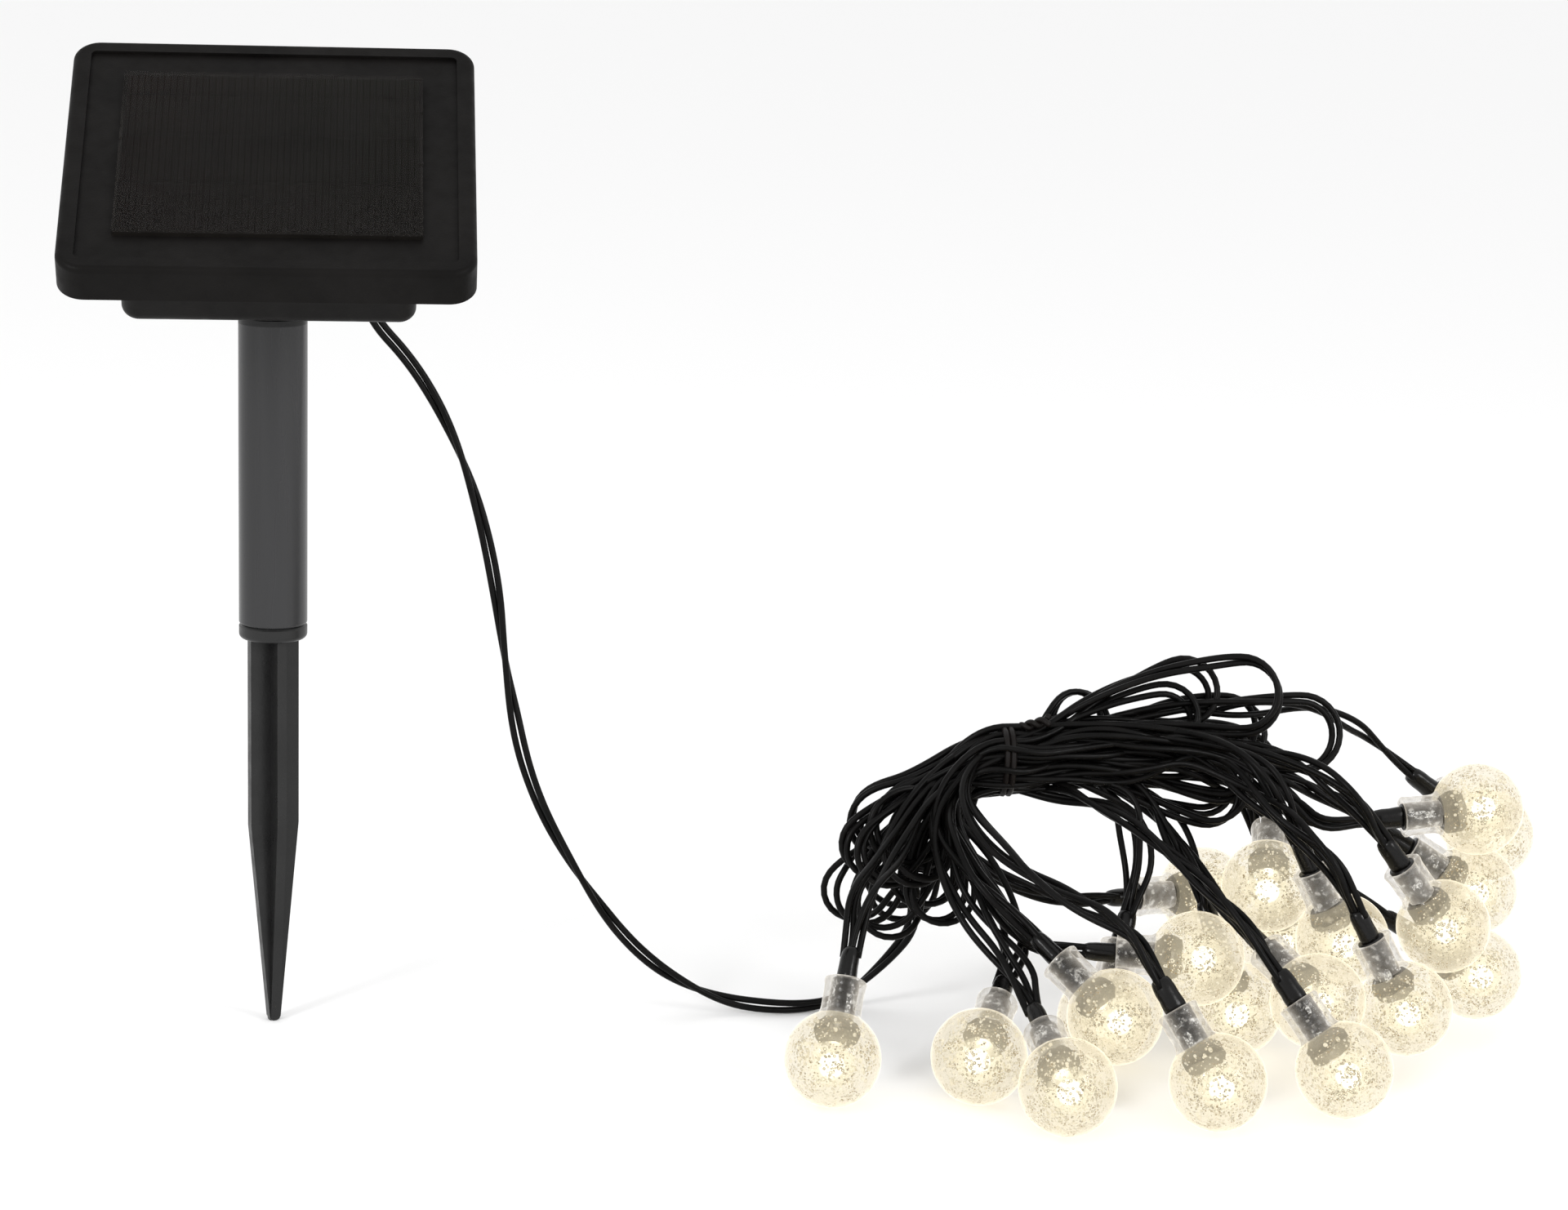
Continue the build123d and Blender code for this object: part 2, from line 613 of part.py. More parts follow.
def button(x):
    """A round push button: domed cap outside, flange inside and a stem to its switch."""
    cap = cylinder(BUTTON_R, BOX_BOTTOM - BUTTON_PROUD, BOX_FLOOR, x, BUTTON_U)
    cap = fillet(cap.edges().sort_by(Axis.Z)[0], BUTTON_EDGE)
    flange_top = BOX_FLOOR + BUTTON_FLANGE_THICK
    flange = cylinder(BUTTON_R + BUTTON_FLANGE, BOX_FLOOR, flange_top, x, BUTTON_U)
    plunger_end = PCB_N - SWITCH_HEIGHT - PLUNGER_HEIGHT
    stem_top = plunger_end - BUTTON_TRAVEL - BUTTON_STEM_GAP
    return cap + flange + cylinder(BUTTON_STEM_R, BOX_FLOOR, stem_top, x, BUTTON_U)


def cable_gland():
    """The ribbed strain relief through the floor of the box."""
    bottom = BOX_BOTTOM - GLAND_PROUD
    neck = cylinder(GLAND_NECK_R, BOX_BOTTOM, BOX_FLOOR, GLAND_X, GLAND_U)
    nut_top = BOX_FLOOR + GLAND_NUT_THICK
    nut = cylinder(GLAND_NUT_R, BOX_FLOOR, nut_top, GLAND_X, GLAND_U)
    cone = Pos(GLAND_X, GLAND_U, (bottom + BOX_BOTTOM) / 2)
    cone = cone * Cone(GLAND_TIP_R, GLAND_R, GLAND_PROUD)
    for step in range(GLAND_GROOVES):
        low = bottom + GLAND_GROOVE_START + GLAND_GROOVE_PITCH * step
        high = low + GLAND_GROOVE_WIDTH
        core = GLAND_GROOVE_R + GLAND_GROOVE_FLARE * step
        groove = cylinder(GLAND_R + 1, low, high, GLAND_X, GLAND_U)
        cone -= groove - cylinder(core, low, high, GLAND_X, GLAND_U)
    return cone + neck + nut


# ---------------------------------------------------------------- bulbs
def globe(centre, tail):
    """A clear ball with its neck, bored for the lamp holder and the lamp."""
    ball = Sphere(GLOBE_R) + cylinder(NECK_R, 0, NECK_END)
    rim = ball.edges().filter_by(GeomType.CIRCLE).sort_by(Axis.Z)[-1]
    ball = fillet(rim, NECK_EDGE)
    ball -= cylinder(HOLDER_R, HOLDER_START, NECK_END)
    ball -= cylinder(LAMP_R + LAMP_PLAY, LAMP_START - LAMP_PLAY, HOLDER_START)
    return aimed(ball, centre, tail)


def lamp_holder(centre, tail):
    return aimed(cylinder(HOLDER_R, HOLDER_START, NECK_END), centre, tail)


def lamp(centre, tail):
    """A domed light-emitting diode."""
    dome = LAMP_START + LAMP_R
    bulb = cylinder(LAMP_R, dome, HOLDER_START) + Pos(0, 0, dome) * Sphere(LAMP_R)
    return aimed(bulb, centre, tail)


def sleeve(centre, tail):
    """The shrunk sleeve where the bulb's wires join the string."""
    tube = cylinder(SLEEVE_R, NECK_END, SLEEVE_END)
    tube = fillet(tube.edges().sort_by(Axis.Z)[-1], SLEEVE_EDGE)
    return aimed(tube, centre, tail)


# ---------------------------------------------------------------- cords
def corner_radii(route):
    """The largest comfortable bend at each corner, from the shorter run beside it."""
    radii = []
    for before, corner, after in zip(route, route[1:], route[2:]):
        run_in = Vector(*corner) - Vector(*before)
        run_out = Vector(*after) - Vector(*corner)
        turn = math.radians(run_in.get_angle(run_out))
        shorter = min(run_in.length, run_out.length)
        radii.append(BEND_SHARE * shorter / math.tan(turn / 2))
    return radii


def tube_along(points, radii, name):
    """A round cord along straight runs joined by tangent arcs."""
    path = FilletPolyline(*points, radius=radii)
    start = Plane(path @ 0, z_dir=path % 0)
    cord = sweep(start * Circle(CORD_D / 2), path)
    expected = math.pi * (CORD_D / 2) ** 2 * path.length
    print(f"{name}: length {path.length:.0f} mm, volume {cord.volume / expected:.3f} of expected")
    return cord


def lead_parts():
    """The lead in two solids: the short stretch that flexes as the head tilts, and the rest."""
    radii = corner_radii(LEAD)
    print("lead bend radii:", [round(r, 1) for r in radii])
    middle = (Vector(*LEAD[LEAD_SPLIT]) + Vector(*LEAD[LEAD_SPLIT + 1])) * 0.5
    middle = tuple(middle)
    upper = tube_along(LEAD[:LEAD_SPLIT + 1] + [middle], radii[:LEAD_SPLIT], "lead_flex")
    lower = tube_along([middle] + LEAD[LEAD_SPLIT + 1:], radii[LEAD_SPLIT:], "lead_cord")
    return upper, lower


def knot(point, radius):
    """A ball whose poles and seam are turned away from the branches that meet in it."""
    return Pos(*point) * Rot(*KNOT_TURN) * Sphere(radius)


def wire_hank():
    """The outer shape of the tied hank: thick branches, and a thin one to each sleeve."""
    pieces = []
    knots = []
    for radius, points in BRANCHES:
        pieces += [rod(radius, start, end) for start, end in zip(points, points[1:])]
        fresh = [point for point in points if point not in knots]
        pieces += [knot(point, radius * HANK_JOINT) for point in fresh]
        knots += fresh
    for _, tail in GLOBES:
        nearest = min(knots, key=lambda point: math.dist(point, tail))
        pieces.append(rod(STEM_R, tail, nearest))
    room = []
    for centre, tail in GLOBES:
        room.append(knot(centre, GLOBE_R + HANK_CLEARANCE))
        room.append(aimed(cylinder(NECK_R + HANK_CLEARANCE, 0, NECK_END), centre, tail))
    hank = pieces[0] + pieces[1:] - room
    return max(hank.solids(), key=lambda solid: solid.volume)


def hank_tie():
    """The twist tie round the hank."""
    return Pos(*TIE) * Rot(0, 90, 0) * Torus(TIE_R, TIE_WIRE_R)


# ---------------------------------------------------------------- the parts
def all_parts():
    parts = {
        "ground_spike": ground_spike(),
        "stake_tube": stake_tube(),
        "hinge_bracket": hinge_bracket(),
        "hinge_bolt": head(hinge_bolt()),
        "hinge_washers": head(hinge_washers()),
        "hinge_nut": head(hinge_nut()),
        "panel_frame": head(panel_frame()),
        "case_gasket": head(gasket_ring(PLATE_TOP, GASKET_TOP)),
        "solar_board": head(solar_board()),
        "cell_laminate": head(cell_laminate()),
        "back_plate": head(back_plate()),
        "rear_case": head(rear_case()),
        "hinge_ears": head(hinge_ears()),
        "case_screws": head(case_screws()),
        "battery_door": head(battery_door()),
        "door_seal": head(door_seal()),
        "door_screws": head(door_screws()),
        "battery": head(battery()),
        "battery_contact": head(battery_contact()),
        "battery_spring": head(battery_spring()),
        "circuit_board": head(circuit_board()),
        "tact_switches": head(tact_switches()),
        "power_button": head(button(BUTTON_X[0])),
        "mode_button": head(button(BUTTON_X[1])),
        "cable_gland": head(cable_gland()),
        "lamp_holders": Compound(children=[lamp_holder(*place) for place in GLOBES]),
        "led_lamps": Compound(children=[lamp(*place) for place in GLOBES]),
        "bulb_sleeves": Compound(children=[sleeve(*place) for place in GLOBES]),
        "wire_hank": wire_hank(),
        "hank_tie": hank_tie(),
    }
    parts["lead_flex"], parts["lead_cord"] = lead_parts()
    for number, strip in enumerate(cell_strips(), start=1):
        parts[f"cell_strip_{number}"] = head(strip)
    for number, place in enumerate(GLOBES, start=1):
        parts[f"globe_{number:02d}"] = globe(*place)
    return parts


os.makedirs("parts", exist_ok=True)
for name, shape in all_parts().items():
    export_step(shape, f"parts/{name}.step")
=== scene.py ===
import json
import math
import random
import bpy
import numpy as np
from mathutils import Matrix, Vector, noise


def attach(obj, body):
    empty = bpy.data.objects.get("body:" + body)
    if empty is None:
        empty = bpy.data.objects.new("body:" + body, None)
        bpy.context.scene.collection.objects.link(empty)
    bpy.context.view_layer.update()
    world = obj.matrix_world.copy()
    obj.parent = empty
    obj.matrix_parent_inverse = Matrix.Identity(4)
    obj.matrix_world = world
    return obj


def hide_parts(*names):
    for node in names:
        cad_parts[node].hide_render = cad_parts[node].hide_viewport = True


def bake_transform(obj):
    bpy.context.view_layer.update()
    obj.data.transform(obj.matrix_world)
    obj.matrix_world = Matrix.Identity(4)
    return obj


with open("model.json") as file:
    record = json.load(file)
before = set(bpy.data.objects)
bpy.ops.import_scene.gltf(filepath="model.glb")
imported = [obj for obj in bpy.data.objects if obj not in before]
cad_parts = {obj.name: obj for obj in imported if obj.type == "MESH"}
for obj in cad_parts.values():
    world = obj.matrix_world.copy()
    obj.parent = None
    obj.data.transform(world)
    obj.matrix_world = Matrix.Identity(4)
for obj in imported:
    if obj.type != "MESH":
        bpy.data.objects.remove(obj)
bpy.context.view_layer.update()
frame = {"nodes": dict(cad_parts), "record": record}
random.seed(7)
MM = 0.001

# ---------------------------------------------------------------- dimensions, as in the CAD source
# Globes, in millimetres: the ball's centre, then the end of its sleeve. Distances along a neck
# are measured from the ball's centre.
GLOBE_R = 12.5
NECK_R = 5.25
NECK_END = 21.0
HOLDER_R = 3.6
HOLDER_START = 9.0
LAMP_R = 2.5
LAMP_START = 3.5
SLEEVE_END = 30.0
GLOBES = [
    ((144, -72, 12.5), (150, -56, 37)),
    ((182, -71, 12.5), (192, -46, 25)),
    ((201, -95, 12.5), (196, -68, 25)),
    ((218, -65, 21), (199, -50, 38)),
    ((242, -50, 32), (213, -43, 32)),
    ((240, -92, 12.5), (226, -80, 36)),
    ((256, -37, 14), (249, -23, 40)),
    ((267, -20, 43), (273, 5, 59)),
    ((254, 1, 35), (226, -8, 36)),
    ((220, -40, 12.5), (228, -26, 38)),
    ((284, -37, 33), (271, -35, 60)),
    ((272, -62, 24), (257, -40, 37)),
    ((297, -56, 20), (283, -54, 46)),
    ((274, -86, 13.5), (258, -74, 36)),
    ((311, -38, 37), (293, -39, 61)),
    ((326, -11, 62), (296, -12, 59)),
    ((339, 20, 46), (315, 20, 64)),
    ((328, -4, 37), (303, -1, 53)),
    ((325, -23, 19), (300, -19, 34)),
    ((278, 5, 20), (270, 5, 49)),
]

# The lead's route, in metres.
WIRE_R = 0.0009
LEAD = [
    (0.022, -0.0003, 0.2041), (0.023, 0.007, 0.193), (0.038, 0.008, 0.177),
    (0.050, 0.006, 0.154), (0.058, 0.003, 0.126), (0.062, 0.000, 0.094),
    (0.068, -0.003, 0.066), (0.082, -0.003, 0.040), (0.099, 0.000, 0.017),
    (0.119, 0.004, 0.004), (0.139, 0.001, 0.0019), (0.155, 0.007, 0.0022),
    (0.167, 0.005, 0.014), (0.175, 0.000, 0.027),
]

# ---------------------------------------------------------------- camera, light and floor
CAMERA_PLACE = (0.0315, -1.0204, 0.3380)
CAMERA_PITCH = math.radians(12.24)
CAMERA_HEADING = math.radians(5.83)
CAMERA_ROLL = math.radians(1.56)
CAMERA_LENS = 90.0
SENSOR_WIDTH = 36.0


def add_camera():
    data = bpy.data.cameras.new("camera")
    data.lens = CAMERA_LENS
    data.sensor_width = SENSOR_WIDTH
    data.clip_end = 20.0
    camera = bpy.data.objects.new("camera", data)
    bpy.context.scene.collection.objects.link(camera)
    turn = Matrix.Rotation(-CAMERA_HEADING, 4, "Z")
    turn @= Matrix.Rotation(math.pi / 2 - CAMERA_PITCH, 4, "X")
    turn @= Matrix.Rotation(CAMERA_ROLL, 4, "Z")
    camera.matrix_world = Matrix.Translation(CAMERA_PLACE) @ turn
    bpy.context.scene.camera = camera


def area_light(name, place, aim, size, power):
    data = bpy.data.lights.new(name, "AREA")
    data.energy = power
    data.size = size
    light = bpy.data.objects.new(name, data)
    light.location = place
    line = Vector(aim) - Vector(place)
    light.rotation_euler = line.to_track_quat("-Z", "Y").to_euler()
    bpy.context.scene.collection.objects.link(light)


def add_lights():
    world = bpy.data.worlds.new("studio")
    bpy.context.scene.world = world
    world.use_nodes = True
    world.node_tree.nodes["Background"].inputs["Color"].default_value = (1, 1, 1, 1)
    world.node_tree.nodes["Background"].inputs["Strength"].default_value = 1.0
    area_light("key", (-0.9, -1.1, 0.9), (0.05, 0, 0.15), 0.35, 9)
    area_light("fill", (1.0, -0.9, 0.7), (0.1, 0, 0.12), 0.45, 6)


def studio_settings():
    scene = bpy.context.scene
    scene.view_settings.view_transform = "Standard"
    scene.cycles.use_denoising = True
    scene.cycles.transparent_max_bounces = 64
    scene.cycles.max_bounces = 12
    scene.cycles.sample_clamp_indirect = 6.0


# ---------------------------------------------------------------- materials
def new_material(name, colour, roughness, specular=0.5, metallic=0.0):
    made = bpy.data.materials.new(name)
    made.use_nodes = True
    shader = made.node_tree.nodes["Principled BSDF"]
    shader.inputs["Base Color"].default_value = (*colour, 1)
    shader.inputs["Roughness"].default_value = roughness
    shader.inputs["Specular IOR Level"].default_value = specular
    shader.inputs["Metallic"].default_value = metallic
    return made, made.node_tree, shader


def add_node(tree, kind, **inputs):
    node = tree.nodes.new(kind)
    for name, value in inputs.items():
        node.inputs[name.replace("_", " ")].default_value = value
    return node


def place_of(tree):
    """A point's place on its own object, in metres."""
    return tree.nodes.new("ShaderNodeTexCoord").outputs["Object"]


def add_noise(tree, scale, detail=3.0, stretch=None):
    """A noise over the surface, drawn out along an axis where stretch says so."""
    node = add_node(tree, "ShaderNodeTexNoise", Scale=scale, Detail=detail)
    place = place_of(tree)
    if stretch:
        mapping = add_node(tree, "ShaderNodeMapping", Scale=stretch)
        tree.links.new(place, mapping.inputs["Vector"])
        place = mapping.outputs["Vector"]
    tree.links.new(place, node.inputs["Vector"])
    return node.outputs["Fac"]


def add_ramp(tree, factor, stops, interpolation="LINEAR"):
    """A colour for each value of the factor: stops are (place, colour) pairs."""
    ramp = tree.nodes.new("ShaderNodeValToRGB")
    ramp.color_ramp.interpolation = interpolation
    elements = ramp.color_ramp.elements
    while len(elements) < len(stops):
        elements.new(0.5)
    for element, (place, colour) in zip(elements, stops):
        element.position = place
        element.color = (*colour, 1)
    tree.links.new(factor, ramp.inputs["Fac"])
    return ramp.outputs["Color"]


def add_range(tree, value, low, high, from_low=0.3, from_high=0.7):
    node = add_node(tree, "ShaderNodeMapRange")
    node.inputs["From Min"].default_value = from_low
    node.inputs["From Max"].default_value = from_high
    node.inputs["To Min"].default_value = low
    node.inputs["To Max"].default_value = high
    tree.links.new(value, node.inputs["Value"])
    return node.outputs["Result"]


def add_bump(tree, shader, height, depth, strength=1.0, under=None):
    bump = add_node(tree, "ShaderNodeBump", Strength=strength, Distance=depth)
    tree.links.new(height, bump.inputs["Height"])
    if under:
        tree.links.new(under, bump.inputs["Normal"])
    tree.links.new(bump.outputs["Normal"], shader.inputs["Normal"])
    return bump.outputs["Normal"]


def tones(colour, low, high):
    return tuple(c * low for c in colour), tuple(c * high for c in colour)


def moulded(name, colour, roughness, specular, grain, depth, stretch=None, scuffs=0.10):
    """Moulded plastic or rubber: fine grain, cloudy tone and shine, and faint scuffs."""
    made, tree, shader = new_material(name, colour, roughness, specular)
    cloud = add_noise(tree, 55.0, 4.0, stretch)
    dark, light = tones(colour, 0.72, 1.28)
    tree.links.new(add_ramp(tree, cloud, [(0.3, dark), (0.7, light)]), shader.inputs["Base Color"])
    shine = add_noise(tree, 260.0, 5.0, stretch)
    rough = add_range(tree, shine, roughness - scuffs, roughness + scuffs)
    tree.links.new(rough, shader.inputs["Roughness"])
    waves = add_bump(tree, shader, add_noise(tree, 120.0, 2.0, stretch), depth * 4, 0.25)
    add_bump(tree, shader, add_noise(tree, grain, 2.0), depth, 0.7, waves)
    return made


def cell_material():
    """Amorphous silicon: brown-black to olive, with hair-fine vertical scribes."""
    made, tree, shader = new_material("solar_cell", (0.014, 0.012, 0.010), 0.32, 0.12)
    split = tree.nodes.new("ShaderNodeSeparateXYZ")
    tree.links.new(place_of(tree), split.inputs["Vector"])
    across = add_range(tree, split.outputs["X"], 0.0, 1.0, -0.038, 0.038)
    cloud = add_range(tree, add_noise(tree, 70.0, 4.0), -0.25, 0.25)
    total = add_node(tree, "ShaderNodeMath")
    tree.links.new(across, total.inputs[0])
    tree.links.new(cloud, total.inputs[1])
    hue = add_ramp(tree, total.outputs["Value"], [
        (0.0, (0.0150, 0.0098, 0.0084)), (0.45, (0.0130, 0.0106, 0.0086)),
        (1.0, (0.0112, 0.0112, 0.0074)),
    ])
    tree.links.new(hue, shader.inputs["Base Color"])
    scribe = add_node(tree, "ShaderNodeTexWave", Scale=190.0, Distortion=0.15)
    scribe.bands_direction = "X"
    tree.links.new(place_of(tree), scribe.inputs["Vector"])
    rough = add_range(tree, scribe.outputs["Fac"], 0.26, 0.42, 0.0, 1.0)
    tree.links.new(rough, shader.inputs["Roughness"])
    add_bump(tree, shader, scribe.outputs["Fac"], 0.00001, 0.3)
    return made


def laminate_material():
    """The clear resin skin over the cells, with dust and a faint orange peel."""
    made, tree, shader = new_material("laminate", (0.022, 0.0195, 0.018), 0.22, 0.20)
    alpha = add_range(tree, add_noise(tree, 900.0, 4.0), 0.08, 0.24, 0.45, 0.8)
    tree.links.new(alpha, shader.inputs["Alpha"])
    rough = add_range(tree, add_noise(tree, 140.0, 4.0), 0.14, 0.32)
    tree.links.new(rough, shader.inputs["Roughness"])
    add_bump(tree, shader, add_noise(tree, 400.0, 2.0), 0.00003, 0.4)
    return made


def metal_material(name, colour, roughness, stretch):
    """Plated metal with fine drawn lines and cloudy tarnish."""
    made, tree, shader = new_material(name, colour, roughness, 0.5, 1.0)
    dark, light = tones(colour, 0.7, 1.15)
    cloud = add_noise(tree, 420.0, 4.0)
    tree.links.new(add_ramp(tree, cloud, [(0.3, dark), (0.7, light)]), shader.inputs["Base Color"])
    lines = add_noise(tree, 900.0, 3.0, stretch)
    rough = add_range(tree, lines, roughness - 0.1, roughness + 0.18)
    tree.links.new(rough, shader.inputs["Roughness"])
    add_bump(tree, shader, lines, 0.00002, 0.5)
    return made


def circuit_material():
    """Green solder mask with traces that show through it."""
    made, tree, shader = new_material("circuit", (0.01, 0.09, 0.03), 0.35)
    cells = add_node(tree, "ShaderNodeTexBrick", Scale=120.0)
    cells.inputs["Color1"].default_value = (0.008, 0.075, 0.025, 1)
    cells.inputs["Color2"].default_value = (0.014, 0.11, 0.04, 1)
    cells.inputs["Mortar"].default_value = (0.03, 0.17, 0.07, 1)
    tree.links.new(place_of(tree), cells.inputs["Vector"])
    tree.links.new(cells.outputs["Color"], shader.inputs["Base Color"])
    add_bump(tree, shader, cells.outputs["Fac"], 0.00003, 0.4)
    return made


def wrap_material():
    """The battery's shrink wrap: green with a darker band at one end."""
    made, tree, shader = new_material("battery_wrap", (0.03, 0.2, 0.09), 0.3)
    split = tree.nodes.new("ShaderNodeSeparateXYZ")
    tree.links.new(place_of(tree), split.inputs["Vector"])
    band = add_range(tree, split.outputs["X"], 0.0, 1.0, -0.025, 0.025)
    hue = add_ramp(tree, band, [
        (0.0, (0.03, 0.2, 0.09)), (0.7, (0.02, 0.15, 0.07)), (0.72, (0.5, 0.5, 0.48)),
    ])
    tree.links.new(hue, shader.inputs["Base Color"])
    add_bump(tree, shader, add_noise(tree, 500.0, 3.0), 0.00004, 0.4)
    return made


def cord_material():
    """Black PVC insulation with a satin shine, drawn along the wire."""
    made, tree, shader = new_material("cord_pvc", (0.0022, 0.0020, 0.0019), 0.36, 0.10)
    cloud = add_noise(tree, 150.0, 4.0)
    tree.links.new(
        add_ramp(tree, cloud, [(0.3, (0.0014, 0.0013, 0.0012)), (0.7, (0.0042, 0.0038, 0.0036))]),
        shader.inputs["Base Color"],
    )
    rough = add_range(tree, add_noise(tree, 700.0, 4.0), 0.26, 0.46)
    tree.links.new(rough, shader.inputs["Roughness"])
    add_bump(tree, shader, add_noise(tree, 1400.0, 3.0), 0.00004, 0.4)
    return made


def ring_specks(tree, scale, glow, dark, light, sparse):
    """A glow colour with small bubbles painted in it: light in the middle, with a dark ring painted
    where they bend the light.
    """
    cells = add_node(tree, "ShaderNodeTexVoronoi", Scale=scale, Randomness=1.0)
    tree.links.new(place_of(tree), cells.inputs["Vector"])
    thin = add_range(tree, add_noise(tree, 260.0, 3.0), sparse, 0.0, 0.38, 0.62)
    place = plus(tree, cells.outputs["Distance"], thin)
    colour = add_ramp(tree, place, [
        (0.0, light), (0.20, light), (0.27, dark), (0.34, dark), (0.44, glow),
    ])
    return colour, add_range(tree, place, 1.0, 0.0, 0.34, 0.44)


def edge_fade(tree, opacity, at_rim):
    """Opacity of a clear body, which changes smoothly from face-on to its rim."""
    weight = add_node(tree, "ShaderNodeLayerWeight", Blend=0.5)
    return add_range(tree, weight.outputs["Facing"], opacity, at_rim, 0.0, 1.0)


def multiply(tree, a, b):
    """The product of two sockets."""
    node = tree.nodes.new("ShaderNodeMath")
    node.operation = "MULTIPLY"
    tree.links.new(a, node.inputs[0])
    tree.links.new(b, node.inputs[1])
    return node.outputs["Value"]


def plus(tree, a, b):
    """The sum of two sockets, held between 0 and 1."""
    node = tree.nodes.new("ShaderNodeMath")
    node.use_clamp = True
    tree.links.new(a, node.inputs[0])
    tree.links.new(b, node.inputs[1])
    return node.outputs["Value"]


def acrylic_material():
    """The ball's own skin: clear, warm with a painted glow of the light inside, with a soft pale
    rim of painted glow.
    """
    made, tree, shader = new_material("clear_acrylic", (0.10, 0.085, 0.06), 0.06, 0.6)
    colour, spots = ring_specks(
        tree, 1050.0, (0.86, 0.77, 0.57), (0.26, 0.18, 0.07), (1.0, 0.95, 0.76), 0.46
    )
    # Painted glow: the skin gives off the colour of its specks.
    tree.links.new(colour, shader.inputs["Emission Color"])
    shader.inputs["Emission Strength"].default_value = 0.88
    body = edge_fade(tree, 0.05, 0.70)
    faint = add_range(tree, spots, 0.0, 0.85, 0.0, 1.0)
    tree.links.new(plus(tree, body, faint), shader.inputs["Alpha"])
    add_bump(tree, shader, add_noise(tree, 240.0, 2.0), 0.00012, 0.4)
    return made


def neck_material():
    """The neck: clear, with painted glow and a painted highlight pale at its sides where it bends
    the light, with marks of glue that the glow is paler on.
    """
    made, tree, shader = new_material("clear_neck", (0.06, 0.057, 0.052), 0.07, 0.8)
    glue_marks_and_glow = add_noise(tree, 520.0, 3.0)
    # Painted glow, paler on the glue marks; with the opacity at the sides it paints a pale
    # highlight.
    glow = add_ramp(tree, glue_marks_and_glow, [(0.42, (0.52, 0.47, 0.40)), (0.66, (0.92, 0.88, 0.80))])
    tree.links.new(glow, shader.inputs["Emission Color"])
    shader.inputs["Emission Strength"].default_value = 0.72
    body = edge_fade(tree, 0.02, 0.85)
    spots = add_range(tree, glue_marks_and_glow, 0.0, 0.45, 0.60, 0.70)
    tree.links.new(plus(tree, body, spots), shader.inputs["Alpha"])
    add_bump(tree, shader, glue_marks_and_glow, 0.00025, 0.4)
    return made


def glow_material(name, colour, strength, opacity, scale):
    """A soft layer of painted glow inside a ball, speckled like lit bubbles, which fades out at its
    rim.
    """
    made, tree, shader = new_material(name, tuple(0.12 * c for c in colour), 0.6, 0.0)
    dark, light = tones(colour, 0.22, 1.3)
    seen, spots = ring_specks(tree, scale, colour, dark, light, 0.30)
    tree.links.new(seen, shader.inputs["Emission Color"])
    shader.inputs["Emission Strength"].default_value = strength
    body = edge_fade(tree, opacity, 0.0)
    fade = edge_fade(tree, 0.85, 0.2)
    tree.links.new(plus(tree, body, multiply(tree, spots, fade)), shader.inputs["Alpha"])
    return made


def shade_material():
    """A dark shell of painted shade: it paints the dark image of the lamp holder that the ball
    throws around the lamp.
    """
    made, tree, shader = new_material("painted_holder_shade", (0.025, 0.021, 0.016), 0.5, 0.0)
    cloud = add_noise(tree, 420.0, 4.0)
    hue = add_ramp(tree, cloud, [(0.40, (0.002, 0.0017, 0.0013)), (0.72, (0.04, 0.03, 0.018))])
    tree.links.new(hue, shader.inputs["Base Color"])
    body = edge_fade(tree, 1.0, 0.80)
    patches = add_range(tree, cloud, 1.0, 0.78, 0.56, 0.70)
    tree.links.new(multiply(tree, body, patches), shader.inputs["Alpha"])
    return made


def bubble_material():
    """Bubbles in the acrylic, in painted glow: bright in the middle, with a darker ring painted at
    the edge where they bend the light.
    """
    made, tree, shader = new_material("bubble", (0.10, 0.08, 0.05), 0.12, 0.5)
    island = tree.nodes.new("ShaderNodeNewGeometry").outputs["Random Per Island"]
    ring = add_ramp(tree, island, [
        (0.0, (0.95, 0.86, 0.62)), (0.35, (0.50, 0.38, 0.17)), (0.65, (0.30, 0.21, 0.09)),
        (0.85, (1.0, 0.97, 0.84)),
    ], "CONSTANT")
    weight = add_node(tree, "ShaderNodeLayerWeight", Blend=0.5)
    mix = tree.nodes.new("ShaderNodeMix")
    mix.data_type = "RGBA"
    tree.links.new(weight.outputs["Facing"], mix.inputs["Factor"])
    colours = [socket for socket in mix.inputs if socket.type == "RGBA"]
    colours[0].default_value = (1.0, 0.94, 0.74, 1)
    tree.links.new(ring, colours[1])
    result = next(socket for socket in mix.outputs if socket.type == "RGBA")
    tree.links.new(result, shader.inputs["Emission Color"])
    shader.inputs["Emission Strength"].default_value = 0.9
    tree.links.new(edge_fade(tree, 0.45, 1.0), shader.inputs["Alpha"])
    return made


def glue_material():
    """Flakes of clear glue that has set and crazed."""
    made, tree, shader = new_material("glue", (0.75, 0.74, 0.70), 0.25, 0.7)
    crazes = add_noise(tree, 1800.0, 4.0)
    alpha = add_range(tree, crazes, 0.10, 0.80, 0.45, 0.65)
    tree.links.new(alpha, shader.inputs["Alpha"])
    add_bump(tree, shader, crazes, 0.0001, 0.6)
    return made


def lamp_material():
    """The lit lamp: white hot, with a yellow cast at its edge."""
    made, tree, shader = new_material("led", (0.5, 0.45, 0.35), 0.15)
    weight = add_node(tree, "ShaderNodeLayerWeight", Blend=0.5)
    glow = add_ramp(tree, weight.outputs["Facing"], [
        (0.0, (1.0, 0.97, 0.86)), (0.5, (1.0, 0.88, 0.55)), (1.0, (0.85, 0.55, 0.2)),
    ])
    tree.links.new(glow, shader.inputs["Emission Color"])
    shader.inputs["Emission Strength"].default_value = 1.6
    add_bump(tree, shader, add_noise(tree, 800.0, 2.0), 0.00004, 0.3)
    return made


# ---------------------------------------------------------------- the string's routes
TIE = np.array([197.0, -5.0, 74.0])
LANE_PITCH = 2.4
